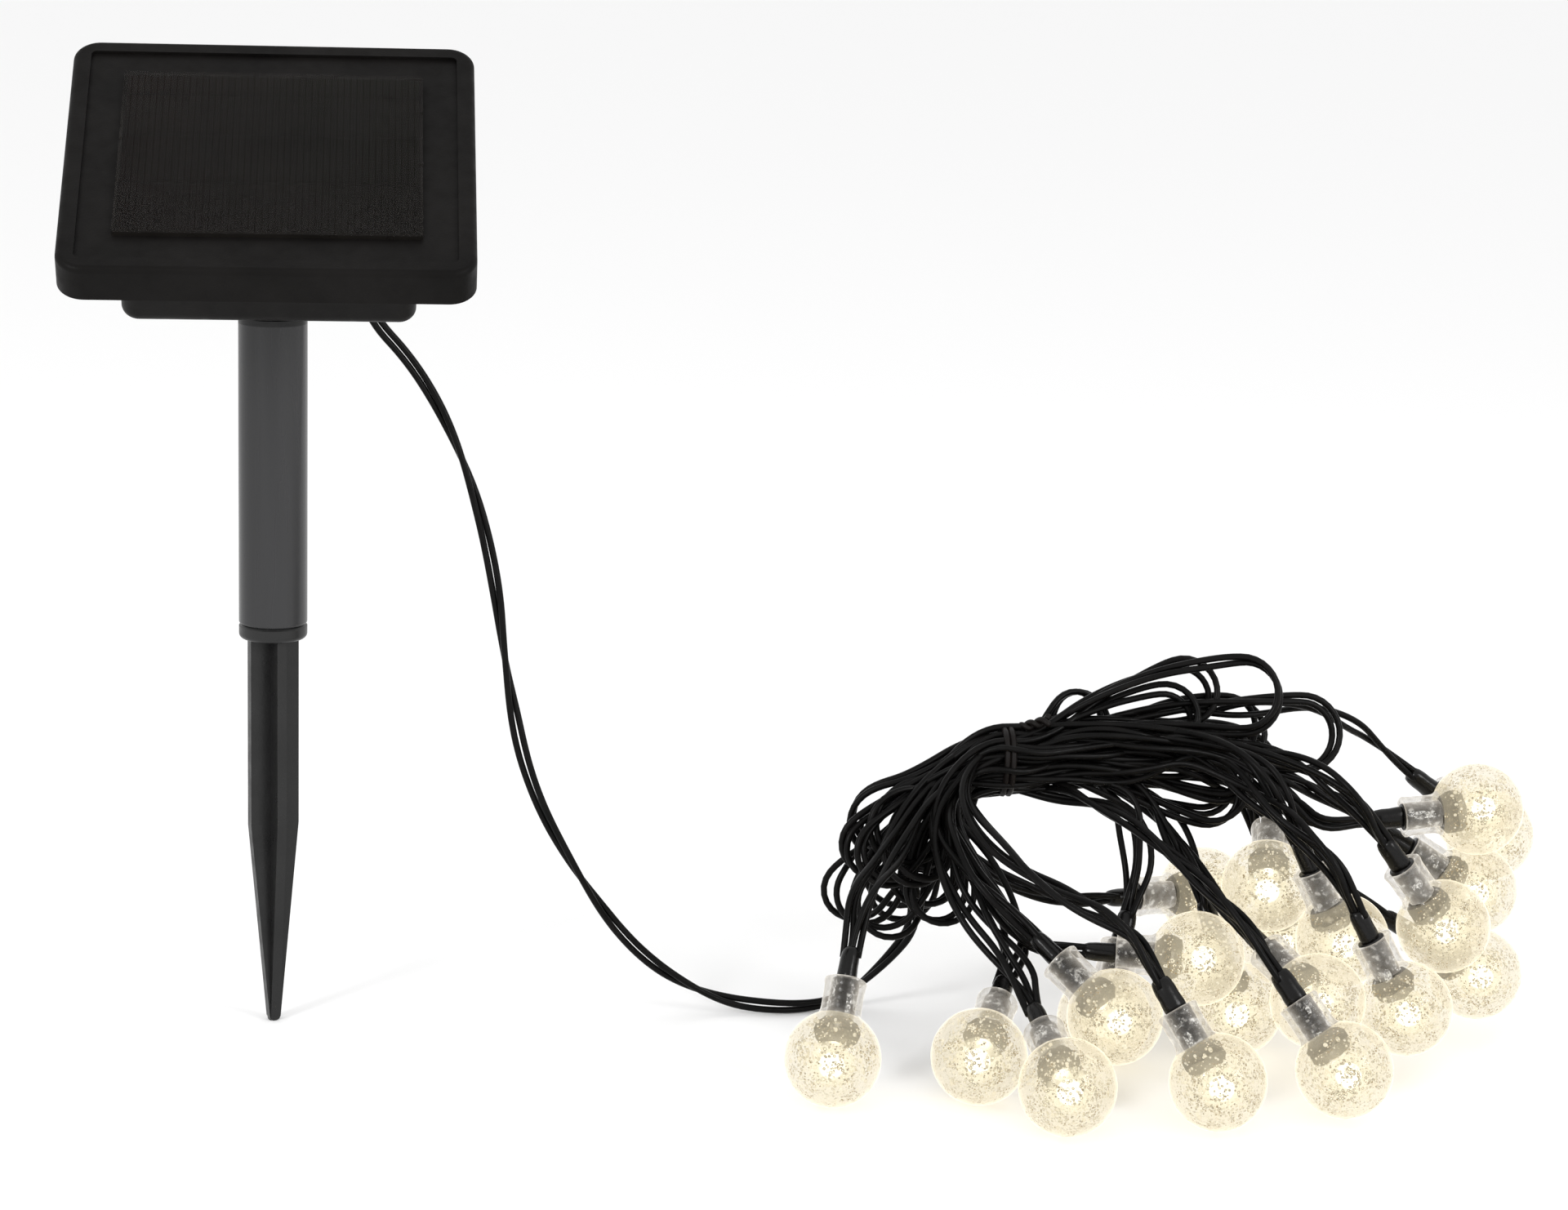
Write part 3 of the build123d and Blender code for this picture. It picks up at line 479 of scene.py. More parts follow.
# Stations right of the tie: the middle of the lanes there and how far they spread in y and z.
STATIONS = [
    ((213, -4, 76), 1.0, 1.15),
    ((231, -2, 76), 1.15, 1.45),
    ((250, 0, 74), 1.3, 1.75),
    ((269, 1, 71), 1.4, 1.8),
    ((287, 1, 68), 1.4, 1.6),
]
STATION_LEAD = 13.0
SPACING = 0.315
LEAD_REACHES = {1: 64.0, 2: 29.0, 3: 83.0}
LEFT_BULBS = [1, 2, 3, 4, 9, 5, 6]
RIGHT_BULBS = [14, 19, 10, 18, 7, 15, 12, 16, 20, 13, 11, 8, 17]
TAIL_RUN = 15.0
TAIL_RUNS = {8: 12.0, 11: 19.0}

# How the wires of a bulb on the left come down from the tie, before its sleeve.
LEFT_WAYS = {
    1: [(174, -12, 68), (162, -31, 54)],
    2: [(177, -13, 63), (190, -19, 46)],
    3: [(175, -20, 62), (181, -42, 44)],
    4: [(176, -18, 64), (183, -35, 52)],
    5: [(177, -19, 63), (188, -36, 45)],
    6: [(181, -24, 66), (199, -54, 53)],
    9: [(178, -8, 60), (188, -14, 46)],
}

# How the wires of a bulb on the right leave the fan, before its sleeve.
RIGHT_WAYS = {
    17: [(297, 17, 78), (284, 11, 85), (268, 3, 87)],
    10: [(229, -12, 66)],
    16: [(275, -8, 64)],
    8: [(270, 20, 74), (253, 12, 80)],
    11: [(253, -21, 83)],
    13: [(267, -42, 66), (248, -13, 79)],
    14: [(238, -50, 57), (222, -26, 67)],
    15: [(272, -26, 80)],
}
WAY_LEAD = 15.0

# Loops on the left of the tie: where the tip points and half the width.
LEFT_BEND = np.array([180.0, -6.0, 68.5])
LEFT_LOOPS = [
    ((-0.70, 0.05, -0.50), 10.1), ((-0.62, -0.35, -0.65), 10.4), ((-0.23, 0.00, -0.90), 8.5),
    ((-0.52, -0.35, -0.75), 9.4), ((-0.61, 0.00, -0.56), 9.1), ((-0.35, 0.25, -0.95), 9.0),
    ((-0.07, -0.40, -0.95), 8.6), ((-0.40, -0.60, -0.75), 8.8), ((-0.74, -0.20, -0.62), 8.4),
    ((-0.18, -0.10, -1.0), 8.8), ((-0.56, 0.30, -0.67), 8.4), ((-0.35, -0.15, -0.90), 8.4),
    ((-0.62, -0.40, -0.66), 8.8), ((-0.30, 0.00, -0.95), 8.6), ((-0.45, -0.50, -0.75), 8.4),
]

# Loops on the right: rise in the middle, slope down, sideways drift and half the width.
RIGHT_BASE = np.array([206.0, -4.0, 77.0])
RIGHT_LOOPS = [
    (24, 0.05, -7, 10.3), (10, 0.03, 4, 10.3), (4, 0.06, -3, 9.5), (14, 0.00, 6, 9.1),
    (-3, 0.05, 3, 9.5), (6, 0.02, 9, 9.7), (0, 0.08, -9, 9.6), (10, 0.03, 2, 9.1),
    (5, -0.07, 12, 8.4), (-3, 0.06, -3, 8.9),
]
RIGHT_END = 0.66 * math.pi


def unit(line):
    return line / np.linalg.norm(line)


def direction(bulb):
    """The unit vector of a bulb's neck, from its ball to the end of its sleeve."""
    centre, tail = GLOBES[bulb - 1]
    return unit(np.array(tail, float) - np.array(centre, float))


def sleeve_mouth(bulb):
    """Where the string's wires come out of a bulb's sleeve."""
    return np.array(GLOBES[bulb - 1][0], float) + SLEEVE_END * direction(bulb)


def lanes(count):
    """The first places of a hexagonal packing, nearest the middle first."""
    places = []
    for row in range(-8, 9):
        for column in range(-8, 9):
            y = (column + 0.5 * (row % 2)) * LANE_PITCH
            places.append((y, row * LANE_PITCH * math.sqrt(3) / 2))
    places.sort(key=lambda place: (round(math.hypot(*place), 3), place))
    return places[:count]


def at_tie(lane, shift=0.0):
    return TIE + np.array([shift, lane[0], lane[1]])


def pass_points(lane, limit, drift):
    """One pass from the left of the tie along the lane, as far right as the limit."""
    points = [at_tie(lane, -8.0), at_tie(lane, 7.0)]
    for number, ((x, y, z), spread_y, spread_z) in enumerate(STATIONS, start=1):
        if x < limit:
            sway = drift * number
            place = (x, y + lane[0] * spread_y + sway[0], z + lane[1] * spread_z + sway[1])
            points.append(np.array(place))
    return points


def tail_points(bulb, side):
    """From just inside a bulb's sleeve out to where its wires bend away."""
    mouth = sleeve_mouth(bulb)
    line = direction(bulb)
    shift = unit(np.cross(line, (0, 0.3, 1))) * side
    points = [mouth - 2.5 * line + shift * 1.2, mouth + 3.0 * line + shift * 1.2]
    return points + [mouth + TAIL_RUNS.get(bulb, TAIL_RUN) * line + shift * 3.0]


def way_points(bulb, side):
    """The places that a bulb's wires pass between its sleeve and the lanes."""
    across = unit(np.cross(direction(bulb), (0, 0.3, 1)))
    ways = RIGHT_WAYS[bulb] if bulb in RIGHT_WAYS else LEFT_WAYS[bulb][::-1]
    spread = [3.0, 2.4, 1.8]
    return [np.array(p, float) + across * side * w for p, w in zip(ways, spread)]


def round_tip(middle, towards, across, width):
    """The control points of a loop's round end, from one side to the other."""
    points = []
    for degrees in (100, 60, 20, -20, -60, -100):
        angle = math.radians(degrees)
        points.append(middle + width * (math.cos(angle) * towards + math.sin(angle) * across))
    return points


def left_loop(shape, reach):
    """A loop that hangs on the left of the tie."""
    towards, width = shape
    towards = unit(np.array(towards) - np.array([0, 0, max(0.0, (reach - 40) / 22)]))
    across = unit(np.cross(towards, (0.1, 1.0, 0.1)))
    middle = LEFT_BEND + towards * max(reach - width, 1.6 * width)
    shaft = LEFT_BEND + (middle - LEFT_BEND) * 0.36
    tip = round_tip(middle, towards, across, width)
    return [shaft + across * width * 0.62] + tip + [shaft - across * width * 0.62]


def right_loop(shape, reach):
    """A loop that stands out on the right of the tie, along the fan."""
    rise, slope, drift, width = shape

    def axis(t):
        fall = slope * (reach * t) ** 1.25
        return RIGHT_BASE + np.array([reach * t, drift * t, rise * math.sin(RIGHT_END * t) - fall])

    end = max(1 - width / reach, 0.5)
    towards = unit(axis(end) - axis(end * 0.45))
    across = unit(np.cross(towards, (0.0, -1.0, 0.25)))
    shaft = axis(end * 0.45)
    tip = round_tip(axis(end), towards, across, width)
    return [shaft + across * width * 0.6] + tip + [shaft - across * width * 0.6]


def spline_length(points):
    """The length of the quadratic spline that has these control points."""
    points = np.array(points)
    middles = (points[:-1] + points[1:]) / 2
    middles = np.vstack([points[:1], middles[1:-1], points[-1:]])
    t = np.linspace(0, 1, 9)[:, None, None]
    a, b, c = middles[:-1], points[1:-1], middles[1:]
    curve = (1 - t) ** 2 * a + 2 * t * (1 - t) * b + t ** 2 * c
    return np.linalg.norm(np.diff(curve, axis=0), axis=2).sum()


def fitted(build, low, high, target):
    """The points that build(reach) gives at the reach where the cord has its target length."""
    for _ in range(16):
        middle = (low + high) / 2
        if spline_length(build(middle)) < target / MM:
            low = middle
        else:
            high = middle
    return build(low)


def plan():
    """Each cord's stops, in order along the string: a bulb's tail or a loop, on each side."""
    left_loops = iter(LEFT_LOOPS)
    right_loops = iter(RIGHT_LOOPS)
    cords = [[("lead", None), ("right", next(right_loops)), ("left", next(left_loops)),
              ("right", next(right_loops)), ("tail", LEFT_BULBS[0])]]
    for a, b in zip(LEFT_BULBS, LEFT_BULBS[1:]):
        cords.append([("tail", a), ("right", next(right_loops)), ("tail", b)])
    cords.append([("tail", LEFT_BULBS[-1]), ("right", next(right_loops)),
                  ("left", next(left_loops)), ("tail", RIGHT_BULBS[0])])
    for a, b in zip(RIGHT_BULBS, RIGHT_BULBS[1:]):
        cords.append([("tail", a), ("left", next(left_loops)), ("tail", b)])
    return cords


def is_right(stop):
    kind, what = stop
    return kind == "right" or (kind == "tail" and what in RIGHT_BULBS)


def height(stop):
    """How high on the right a stop is, which decides its lane."""
    kind, what = stop
    if kind == "tail":
        return GLOBES[what - 1][1][2] + 0.08 * (GLOBES[what - 1][1][0] - 250)
    return 52.0 + 1.2 * what[0]


def assign_lanes(cords):
    """A lane for each pass of each cord, with high lanes for what is high on the right."""
    passes = []
    for c, stops in enumerate(cords):
        for s in range(len(stops) - 1):
            right = stops[s] if is_right(stops[s]) else stops[s + 1]
            passes.append((height(right) + random.uniform(-2, 2), c, s))
    places = sorted(lanes(len(passes)), key=lambda p: p[1])
    return {(c, s): place for (_, c, s), place in zip(sorted(passes), places)}


def stop_points(stop, reach, first):
    """The points of a stop, in the direction of travel."""
    kind, what = stop
    if kind == "left":
        return left_loop(what, reach)
    if kind == "right":
        return right_loop(what, reach)
    if kind == "tail":
        points = tail_points(what, 1 if first else -1)
        if what in LEFT_WAYS or what in RIGHT_WAYS:
            points += way_points(what, 1 if first else -1)
        return points if first else points[::-1]
    return []


def lane_limit(stop):
    """How far right a pass keeps to its lane before it bends to the stop."""
    kind, what = stop
    if kind == "right":
        return RIGHT_BASE[0]
    if what in RIGHT_WAYS:
        return RIGHT_WAYS[what][-1][0] - WAY_LEAD
    return (sleeve_mouth(what) + TAIL_RUN * direction(what))[0] - STATION_LEAD


def string_points(c, stops, lane_of, reach):
    """The control points of one cord, from its first stop to its last, in millimetres.

    reach is how far its loops stand out, or a number for each stop.
    """
    sway = random.Random(c)
    points = list(stop_points(stops[0], reach, True))
    for s in range(len(stops) - 1):
        here, there = stops[s], stops[s + 1]
        right = here if is_right(here) else there
        limit = lane_limit(right)
        drift = np.array([sway.uniform(-0.7, 0.7), sway.uniform(-0.5, 0.6)])
        run = pass_points(lane_of[(c, s)], limit, drift)
        points += run[::-1] if is_right(here) else run
        points += stop_points(there, reach[s + 1] if isinstance(reach, dict) else reach, False)
    return clear_of_globes(points)


def clear_of_globes(points):
    """Moves the points between the sleeves out of the balls that they would pass through."""
    room = GLOBE_R + 3.4
    moved = []
    for index, point in enumerate(points):
        point = np.array(point, float)
        if 3 <= index < len(points) - 3:
            for centre, _ in GLOBES:
                line = point - np.array(centre, float)
                gap = np.linalg.norm(line)
                if gap < room:
                    point = np.array(centre) + line / gap * room
            point[2] = max(point[2], 2.2)
        moved.append(point)
    return moved


def cord_points():
    """The control points of the lead and of the nineteen lengths of cord, in millimetres."""
    cords = plan()
    lane_of = assign_lanes(cords)
    routes = []
    for c, stops in enumerate(cords):
        def build(reach, c=c, stops=stops):
            return string_points(c, stops, lane_of, reach)
        if c == 0:
            start = [np.array(p) / MM for p in LEAD] + [np.array([171.0, -3.0, 46.0])]
            start.append(np.array([174.0, -4.0, 66.0]))
            points = start + build(LEAD_REACHES | {4: None})
        else:
            points = fitted(build, 20.0, 110.0, SPACING)
        routes.append((stops, points))
    return routes


# ---------------------------------------------------------------- mesh helpers
def lathe(outline, sides=40, oval=1.0):
    """The vertices and faces of a shape turned about z, from (radius, height) points."""
    vertices = []
    rows = []
    for radius, height in outline:
        count = sides if radius else 1
        rows.append([len(vertices) + step for step in range(count)])
        for step in range(count):
            angle = 2 * math.pi * step / sides
            vertices.append((radius * math.cos(angle), radius * oval * math.sin(angle), height))
    faces = []
    for low, high in zip(rows, rows[1:]):
        for step in range(sides):
            after = (step + 1) % sides
            ring = [low[step % len(low)], low[after % len(low)]]
            ring += [high[after % len(high)], high[step % len(high)]]
            faces.append(tuple(dict.fromkeys(ring)))
    return np.array(vertices), faces


def rippled(shape, centre, depth, scale):
    """The same shape with its surface moved in and out a little."""
    vertices, faces = shape
    moved = []
    for vertex in vertices:
        line = vertex - centre
        wave = noise.noise(Vector(vertex * scale))
        moved.append(centre + line * (1 + depth * wave))
    return np.array(moved), faces


def mesh_of(name, shapes, materials):
    """One smooth mesh from (vertices, faces, material number) shapes, given in millimetres."""
    vertices = []
    faces = []
    numbers = []
    for points, rings, number in shapes:
        base = len(vertices)
        vertices += [tuple(float(x) * MM for x in point) for point in points]
        faces += [tuple(base + index for index in ring) for ring in rings]
        numbers += [number] * len(rings)
    mesh = bpy.data.meshes.new(name)
    mesh.from_pydata(vertices, [], faces)
    mesh.polygons.foreach_set("use_smooth", [True] * len(faces))
    mesh.polygons.foreach_set("material_index", numbers)
    for material in materials:
        mesh.materials.append(material)
    mesh.update()
    return mesh


def add_piece(name, mesh):
    piece = bpy.data.objects.new(name, mesh)
    bpy.context.scene.collection.objects.link(piece)
    return piece


def add_floor():
    size = 6.0
    corners = [(-size, -size, 0), (size, -size, 0), (size, size, 0), (-size, size, 0)]
    mesh = bpy.data.meshes.new("floor")
    mesh.from_pydata(corners, [], [(0, 1, 2, 3)])
    made, _, _ = new_material("floor", (0.93, 0.93, 0.93), 0.9, 0.1)
    mesh.materials.append(made)
    add_piece("floor", mesh)


# ---------------------------------------------------------------- the bulbs
# Soft layers of painted glow, as radius and height of their middle, and the outline of the dark
# shell of painted shade that stands for the holder's image.
LAYERS = [(11.9, 0.0), (9.2, -0.6), (6.0, -1.4), (3.4, -1.8)]
SHADE = [(3.0, 3.7), (4.4, 4.2), (5.4, 5.4), (5.8, 7.0), (5.5, 8.6), (4.6, 9.9), (3.7, 10.6)]
BUBBLES = 230
NEAR_BUBBLES = 70
SMALLEST_BUBBLE = 0.17
LARGEST_BUBBLE = 0.55
FLAKES = 8

# Places in GLASS_MATERIALS: the four glows follow each other.
SKIN_SLOT = 0
NECK_SLOT = 1
GLOW_SLOT = 2
SHADE_SLOT = 6
BUBBLE_SLOT = 7


def ball_outline(radius, top):
    """The side of a ball, from its lowest point up to where its radius is top."""
    last = math.acos(min(1.0, top / radius)) if top else math.pi / 2
    steps = 26
    outline = [(0.0, -radius)]
    for step in range(1, steps + 1):
        angle = -math.pi / 2 + (last + math.pi / 2) * step / steps
        outline.append((radius * math.cos(angle), radius * math.sin(angle)))
    if not top:
        outline[-1] = (0.0, radius)
    return outline


def bubble_place(chance, near):
    """The middle of a bubble: near the holder's image if near, or else anywhere in the ball."""
    line = Vector([chance.gauss(0, 1) for _ in range(3)]).normalized()
    if near:
        return np.array(line) * chance.uniform(6.2, 8.6) * (1, 1, 0.75) + (0, 0, 6.0)
    return np.array(line) * GLOBE_R * (0.32 + 0.62 * chance.random() ** 0.6)


def bubble_shapes(chance):
    """Bubbles of many sizes, most of them near the skin and in front of the holder's image."""
    ball = lathe([(0.0, -1.0), (0.72, -0.69), (1.0, 0.0), (0.72, 0.69), (0.0, 1.0)], 8)
    shapes = []
    while len(shapes) < BUBBLES + NEAR_BUBBLES:
        place = bubble_place(chance, len(shapes) < NEAR_BUBBLES)
        size = min(SMALLEST_BUBBLE + chance.expovariate(1 / 0.12), LARGEST_BUBBLE)
        inside_shade = math.hypot(place[0], place[1]) < 6.4 and place[2] > 3.2
        if inside_shade or np.linalg.norm(place) + size > GLOBE_R - 0.15:
            continue
        stretch = np.array([1.0, chance.uniform(0.8, 1.1), chance.uniform(0.9, 1.4)])
        shapes.append((ball[0] * size * stretch + place, ball[1], BUBBLE_SLOT))
    return shapes


def glass_mesh(number):
    """A clear ball and neck with layers of painted glow, a dark shell of painted shade and the
    bubbles inside it.
    """
    chance = random.Random(100 + number)
    skin = ball_outline(GLOBE_R, 6.1)
    skin_scale = 0.45 + 0.1 * number
    shapes = [(*rippled(lathe(skin, 56), np.zeros(3), 0.004, skin_scale), SKIN_SLOT)]
    neck = [(6.1, 10.91), (5.62, 11.5), (5.33, 12.3), (NECK_R, 13.4), (NECK_R, 16.4), (5.3, 19.2)]
    neck += [(5.55, 20.2), (5.5, 20.75), (5.2, NECK_END), (3.95, 20.9), (3.72, 20.3), (3.7, 9.3)]
    neck += [(2.95, 8.9), (2.85, 5.0), (1.9, 3.4), (0.0, 3.1)]
    shapes.append((*rippled(lathe(neck, 48), np.array([0, 0, 15.0]), 0.012, 0.5), NECK_SLOT))
    # The layers of painted glow, one inside the other.
    for layer, (radius, height) in enumerate(LAYERS):
        points, faces = lathe(ball_outline(radius, 0.0), 40)
        points = points + np.array([0.0, 0.0, height])
        if radius > LAYERS[-1][0]:
            points[:, 2] = np.minimum(points[:, 2], HOLDER_START + 1.5 - 0.1 * layer)
        shapes.append((*rippled((points, faces), np.zeros(3), 0.02, 0.4), GLOW_SLOT + layer))
    # The dark shell of painted shade around the lamp, which stands for the holder's image.
    shapes.append((*rippled(lathe(SHADE, 32), np.array([0, 0, 7.0]), 0.12, 0.5), SHADE_SLOT))
    shapes += bubble_shapes(chance)
    return mesh_of(f"glass_{number}", shapes, GLASS_MATERIALS)


def flake(chance):
    """A flake of set glue on the holder, as a bent, ragged patch."""
    radius = chance.uniform(HOLDER_R + 0.12, NECK_R - 0.35)
    start = chance.uniform(0, 2 * math.pi)
    width = chance.uniform(0.2, 0.9)
    low = chance.uniform(HOLDER_START + 1.0, NECK_END - 4.5)
    height = chance.uniform(0.8, 3.6)
    columns = 5
    vertices = []
    for column in range(columns):
        angle = start + width * column / (columns - 1)
        for edge in (0, 1):
            level = low + height * edge + chance.uniform(-0.35, 0.35) * height
            reach = radius + chance.uniform(-0.1, 0.1)
            vertices.append((reach * math.cos(angle), reach * math.sin(angle), level))
    faces = []
    for column in range(columns - 1):
        a = 2 * column
        faces.append((a, a + 2, a + 3, a + 1))
    return np.array(vertices), faces


def fitting_mesh(number):
    """A bulb's lamp, its ribbed holder with flakes of glue, and the sleeve on its wires."""
    chance = random.Random(200 + number)
    holder = [(0.0, HOLDER_START), (3.1, HOLDER_START), (HOLDER_R, 9.5)]
    for rib in range(5):
        low = 10.4 + 2.0 * rib
        holder += [(HOLDER_R, low), (3.48, low + 0.3), (3.48, low + 0.8), (HOLDER_R, low + 1.1)]
    holder += [(HOLDER_R, NECK_END), (0.0, NECK_END)]
    lamp = [(0.0, LAMP_START)]
    for step in range(1, 8):
        angle = math.pi / 2 * step / 7
        lamp.append((LAMP_R * math.sin(angle), LAMP_START + LAMP_R * (1 - math.cos(angle))))
    lamp += [(LAMP_R, 7.9), (2.75, 8.0), (2.75, HOLDER_START), (0.0, HOLDER_START)]
    sleeve = [(0.0, 20.4), (2.5, 20.4), (2.95, 21.0), (3.05, 22.4), (2.85, 24.6), (2.9, 26.6)]
    sleeve += [(2.7, 28.4), (2.35, 29.5), (1.7, 29.95), (0.0, SLEEVE_END)]
    shapes = [(*lathe(holder, 32), 0), (*lathe(lamp, 24), 1)]
    squeezed = rippled(lathe(sleeve, 32, 0.86), np.array([0, 0, 25.0]), 0.05, 0.35)
    shapes.append((*squeezed, 2))
    shapes += [(*flake(chance), 3) for _ in range(FLAKES)]
    return mesh_of(f"fitting_{number}", shapes, FITTING_MATERIALS)


def bulb_place(centre, tail, spin):
    """Where a mesh drawn up z from the ball's centre goes."""
    line = Vector(tail) - Vector(centre)
    turn = line.to_track_quat("Z", "Y").to_matrix().to_4x4()
    return Matrix.Translation(Vector(centre) * MM) @ turn @ Matrix.Rotation(spin, 4, "Z")


def add_bulbs():
    """Each bulb's two pieces, by number: the glass, and the fitting on the wires."""
    glasses = [glass_mesh(number) for number in range(4)]
    fittings = [fitting_mesh(number) for number in range(3)]
    pieces = {}
    for number, (centre, tail) in enumerate(GLOBES, start=1):
        place = bulb_place(centre, tail, random.uniform(0, 6.28))
        glass = add_piece(f"bulb_{number:02d}", glasses[number % len(glasses)].copy())
        fitting = add_piece(f"bulb_fitting_{number:02d}", fittings[number % len(fittings)].copy())
        for piece in (glass, fitting):
            piece.data.transform(place)
            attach(piece, "stake")
        glass.visible_shadow = False
        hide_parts(f"globe_{number:02d}")
        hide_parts("lamp_holders", "led_lamps", "bulb_sleeves")
        pieces[number] = [glass, fitting]
    return pieces


# ---------------------------------------------------------------- cords and the tie as meshes
# In metres: how far the two wires of a pair stray from its middle, how far along it they take
# to swap sides, and half the thickness of the tie's wire.
LOOSE = 0.0014
TIGHT = 0.00096
LEAD_LOOSE = 0.0002
HALF_TURNS = (0.026, 0.040)
LEAD_HALF_TURN = 0.056
TIE_WIRE = 0.00085


def nurbs_line(name, points):
    """Points along the smooth spline that has these control points."""
    data = bpy.data.curves.new(name, "CURVE")
    data.dimensions = "3D"
    data.resolution_u = 10
    spline = data.splines.new("NURBS")
    spline.points.add(len(points) - 1)
    for slot, point in zip(spline.points, points):
        slot.co = (*point, 1.0)
    spline.order_u = 3
    spline.use_endpoint_u = True
    guide = bpy.data.objects.new(name, data)
    mesh = bpy.data.meshes.new_from_object(guide)
    line = np.array([v.co for v in mesh.vertices])
    bpy.data.objects.remove(guide)
    bpy.data.curves.remove(data)
    bpy.data.meshes.remove(mesh)
    return line


def evenly(line, step):
    """The same line with points an even step apart, and its length."""
    lengths = np.r_[0, np.cumsum(np.linalg.norm(np.diff(line, axis=0), axis=1))]
    count = max(2, int(round(lengths[-1] / step)) + 1)
    places = np.linspace(0, lengths[-1], count)
    return np.stack([np.interp(places, lengths, line[:, i]) for i in range(3)], axis=1), lengths[-1]


def side_vectors(line):
    """Two unit vectors across the line at each of its points, carried along it without twist."""
    tangents = np.gradient(line, axis=0)
    tangents /= np.linalg.norm(tangents, axis=1)[:, None]
    first = unit(np.cross(tangents[0], (0.3, 0.2, 1.0)))
    firsts = [first]
    for tangent in tangents[1:]:
        first = unit(first - tangent * np.dot(first, tangent))
        firsts.append(first)
    firsts = np.array(firsts)
    return firsts, np.cross(tangents, firsts)


def tube(centres, first, second, radius, sides=10):
    """The vertices and faces of a round wire with closed ends."""
    angles = np.arange(sides) * 2 * math.pi / sides
    ring = first[:, None] * np.cos(angles)[None, :, None]
    ring = ring + second[:, None] * np.sin(angles)[None, :, None]
    rows = centres[:, None] + ring * radius
    faces = []
    for row in range(len(centres) - 1):
        for side in range(sides):
            a = row * sides + side
            b = row * sides + (side + 1) % sides
            faces.append((a, b, b + sides, a + sides))
    faces.append(tuple(reversed(range(sides))))
    faces.append(tuple((len(centres) - 1) * sides + side for side in range(sides)))
    return rows.reshape(-1, 3), faces


def twisted_pair(name, line, length, half_turn, seed, looseness):
    """Two round wires that turn about each other along a line, in places a little apart."""
    first, second = side_vectors(line)
    along = np.linspace(0, length, len(line))
    waves = np.array([noise.noise(Vector((s * 26.0, seed * 3.7, 0.0))) for s in along])
    turn = seed + math.pi * along / half_turn + 1.1 * waves
    ends = np.clip(np.minimum(along, length - along) / 0.025, 0, 1)
    gaps = np.array([noise.noise(Vector((s * 17.0, seed * 5.1, 9.0))) for s in along])
    gap = TIGHT + looseness * ends * np.clip(gaps + 0.25, 0, 1)
    offset = (first * np.cos(turn)[:, None] + second * np.sin(turn)[:, None]) * gap[:, None]
    shapes = []
    for wire in (-1, 1):
        points, faces = tube(line + wire * offset, first, second, WIRE_R)
        shapes.append((points / MM, faces, 0))
    return add_piece(name, mesh_of(name, shapes, [LOOKS["cord_pvc"]]))


def add_string():
    """The lead and the nineteen lengths of cord between the bulbs."""
    for c, (stops, points) in enumerate(cord_points()):
        metres = [tuple(float(x) * MM for x in point) for point in points]
        name = f"string_{c:02d}" if c else "lead"
        line, length = evenly(nurbs_line(name, metres), 0.002)
        half_turn = random.uniform(*HALF_TURNS) if c else LEAD_HALF_TURN
        start_angle = random.uniform(0, 6.0)
        apart = LOOSE if c else LEAD_LOOSE
        pair = twisted_pair(name, line, length, half_turn, start_angle, apart)
        if c:
            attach(pair, "stake")
            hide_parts("wire_hank")
        else:
            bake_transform(pair)
            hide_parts("lead_flex", "lead_cord", "wire_hank")


def tie_turns():
    """The middle line of the turns of the tie around the hank, in metres."""
    steps = 90
    turns = 2.15
    centres = []
    for step in range(steps):
        share = step / (steps - 1)
        angle = 0.6 + 2 * math.pi * turns * share
        reach = 8.75 + 0.35 * math.sin(3 * angle + 1) * (1 - share) + 0.3 * share
        across = -2.0 + 3.6 * share + 0.5 * math.sin(angle)
        centres.append((across, reach * math.cos(angle), reach * math.sin(angle)))
    line, _ = evenly((np.array(centres) + TIE) * MM, 0.0009)
    return line


def tie_tail(last, side):
    """The middle line of one of the tie's two twisted ends, in metres."""
    steps = 26
    tail = []
    for step in range(steps):
        share = step / (steps - 1)
        turn = side * math.pi / 2 + 9.0 * share
        spread = 0.0007 + 0.0014 * max(0.0, share - 0.7)
        tail.append(last + np.array([
            0.0012 + 0.007 * share, spread * math.cos(turn) - 0.004 * share,
            spread * math.sin(turn) + 0.003 * share,
        ]))
    return np.array(tail)


def add_tie():
    """The twist tie: two turns of plastic-coated wire with its ends twisted together."""
    turns = tie_turns()
    shapes = []
    for line in (turns, tie_tail(turns[-1], -1), tie_tail(turns[-1], 1)):
        first, second = side_vectors(line)
        points, faces = tube(line, first, second, TIE_WIRE, 8)
        shapes.append((points / MM, faces, 0))
    tie = add_piece("hank_twist_tie", mesh_of("hank_twist_tie", shapes, [LOOKS["tie_pvc"]]))
    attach(tie, "stake")
    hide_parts("hank_tie")


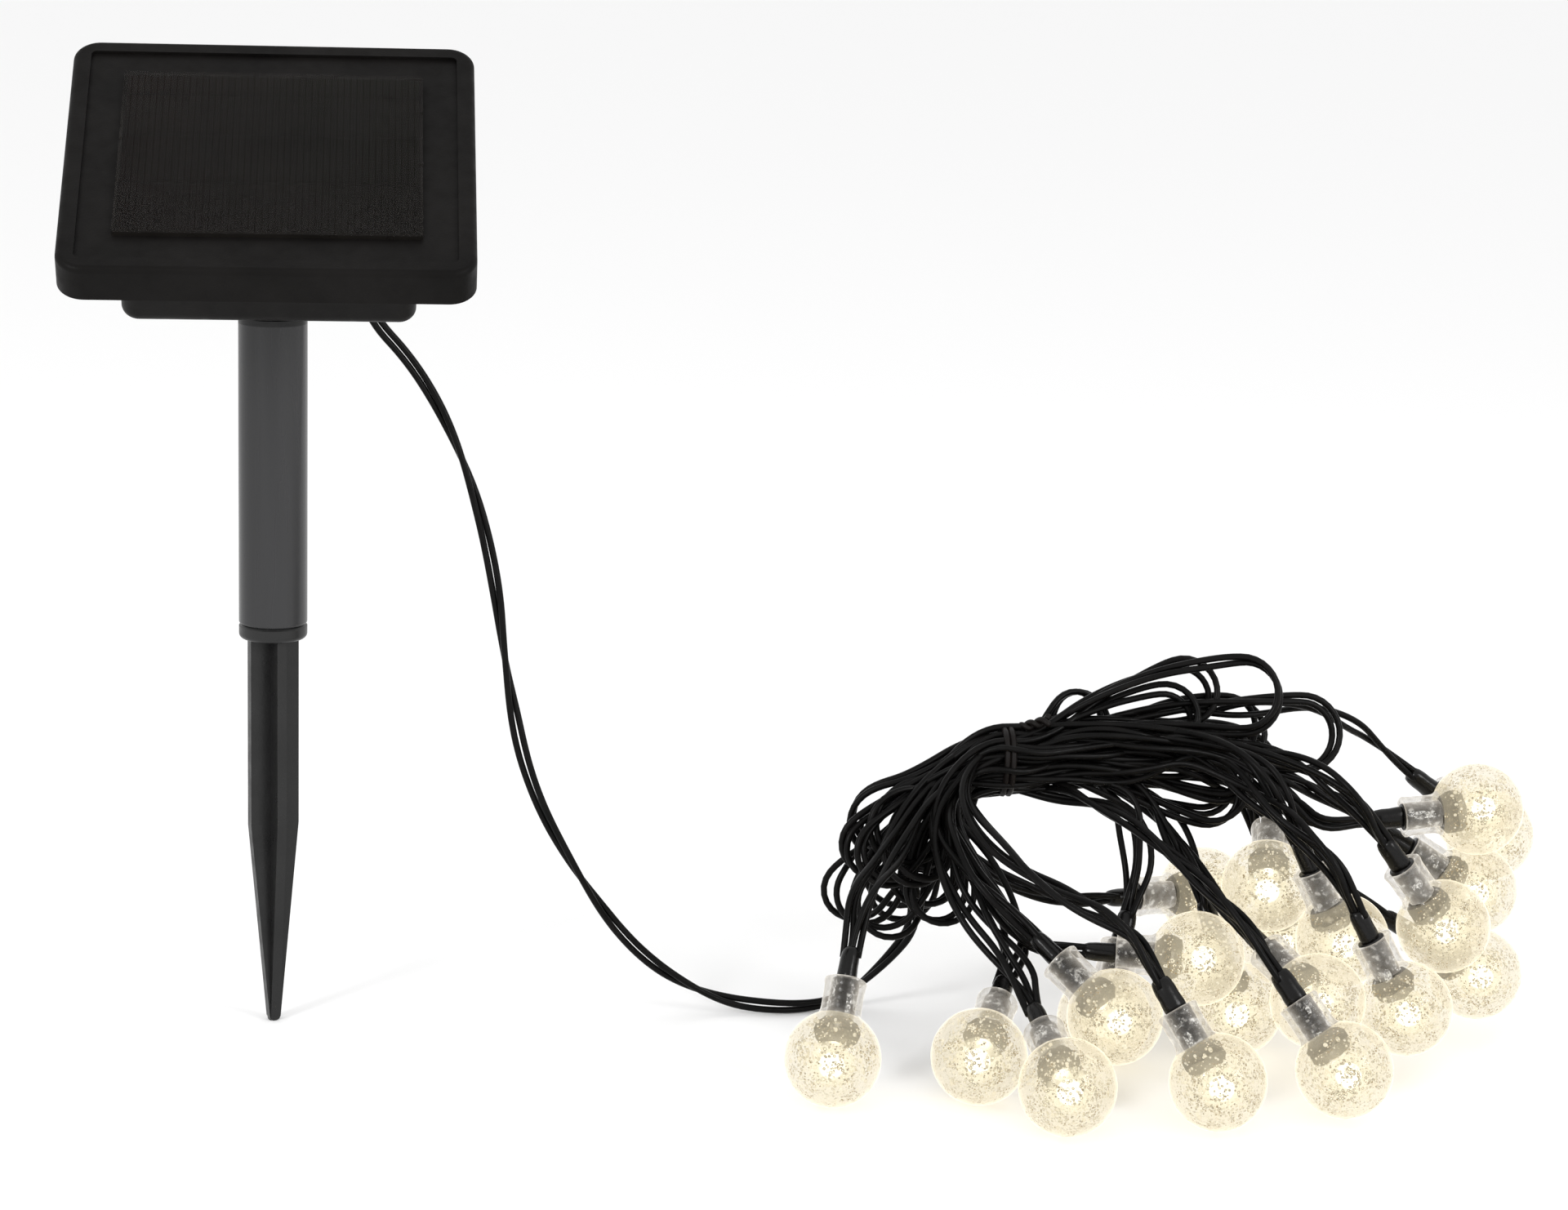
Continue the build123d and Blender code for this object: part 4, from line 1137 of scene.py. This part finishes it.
# ---------------------------------------------------------------- materials by slot, and the build
STRETCH_Z = (1.0, 1.0, 0.06)
LOOKS = {
    "spike_plastic": moulded("spike_plastic", (0.011, 0.011, 0.011), 0.34, 0.30, 1500, 0.00005),
    "tube_plastic": moulded(
        "tube_plastic", (0.017, 0.017, 0.018), 0.27, 0.42, 900, 0.00002, STRETCH_Z
    ),
    "bracket_plastic": moulded("bracket_plastic", (0.011, 0.011, 0.011), 0.4, 0.25, 1500, 0.00005),
    "steel": metal_material("steel", (0.55, 0.55, 0.57), 0.32, (1.0, 0.1, 1.0)),
    "knob_plastic": moulded("knob_plastic", (0.010, 0.010, 0.010), 0.4, 0.25, 1400, 0.00004),
    "frame_plastic": moulded("frame_plastic", (0.0052, 0.0047, 0.0044), 0.50, 0.07, 2200, 0.00005),
    "seal_rubber": moulded("seal_rubber", (0.02, 0.02, 0.02), 0.65, 0.2, 1800, 0.00004),
    "board": moulded("board", (0.0105, 0.0094, 0.0082), 0.34, 0.10, 2600, 0.00002),
    "laminate": laminate_material(),
    "case_plastic": moulded("case_plastic", (0.0082, 0.0076, 0.0072), 0.46, 0.10, 2200, 0.00005),
    "battery_wrap": wrap_material(),
    "contact_metal": metal_material("contact_metal", (0.7, 0.68, 0.62), 0.25, (1.0, 0.2, 1.0)),
    "circuit": circuit_material(),
    "switch_plastic": moulded("switch_plastic", (0.03, 0.03, 0.03), 0.4, 0.4, 1800, 0.00003),
    "button_rubber": moulded("button_rubber", (0.03, 0.03, 0.03), 0.6, 0.3, 2400, 0.00004),
    "gland_rubber": moulded("gland_rubber", (0.012, 0.012, 0.012), 0.55, 0.25, 2000, 0.00004),
    "holder_plastic": moulded("holder_plastic", (0.006, 0.0052, 0.0045), 0.3, 0.35, 1500, 0.00004),
    "sleeve": moulded("sleeve", (0.0028, 0.0025, 0.0023), 0.24, 0.22, 700, 0.00006, None, 0.06),
    "tie_pvc": moulded("tie_pvc", (0.0055, 0.0038, 0.0032), 0.5, 0.16, 1600, 0.00004),
    "solar_cell": cell_material(),
    "cord_pvc": cord_material(),
}
# After the skin and the neck: four layers of painted glow, the dark shell of painted shade, and the
# bubbles.
GLASS_MATERIALS = [
    acrylic_material(), neck_material(),
    glow_material("glow_outer", (0.86, 0.76, 0.54), 0.92, 0.24, 900.0),
    glow_material("glow_second", (0.92, 0.82, 0.58), 0.98, 0.26, 780.0),
    glow_material("glow_third", (1.0, 0.92, 0.68), 1.15, 0.42, 700.0),
    glow_material("glow_core", (1.0, 0.97, 0.84), 2.6, 0.98, 500.0),
    shade_material(), bubble_material(),
]
FITTING_MATERIALS = [LOOKS["holder_plastic"], lamp_material(), LOOKS["sleeve"], glue_material()]


def dress_nodes():
    """Gives every CAD node that stays in view the look of its material slot."""
    for row in frame["record"]["subparts"]:
        look = LOOKS.get(row["material_slot"])
        if look:
            for slot in frame["nodes"][row["node"]].material_slots:
                slot.material = look


add_camera()
add_floor()
add_lights()
studio_settings()
dress_nodes()
bulb_pieces = add_bulbs()
add_string()
add_tie()
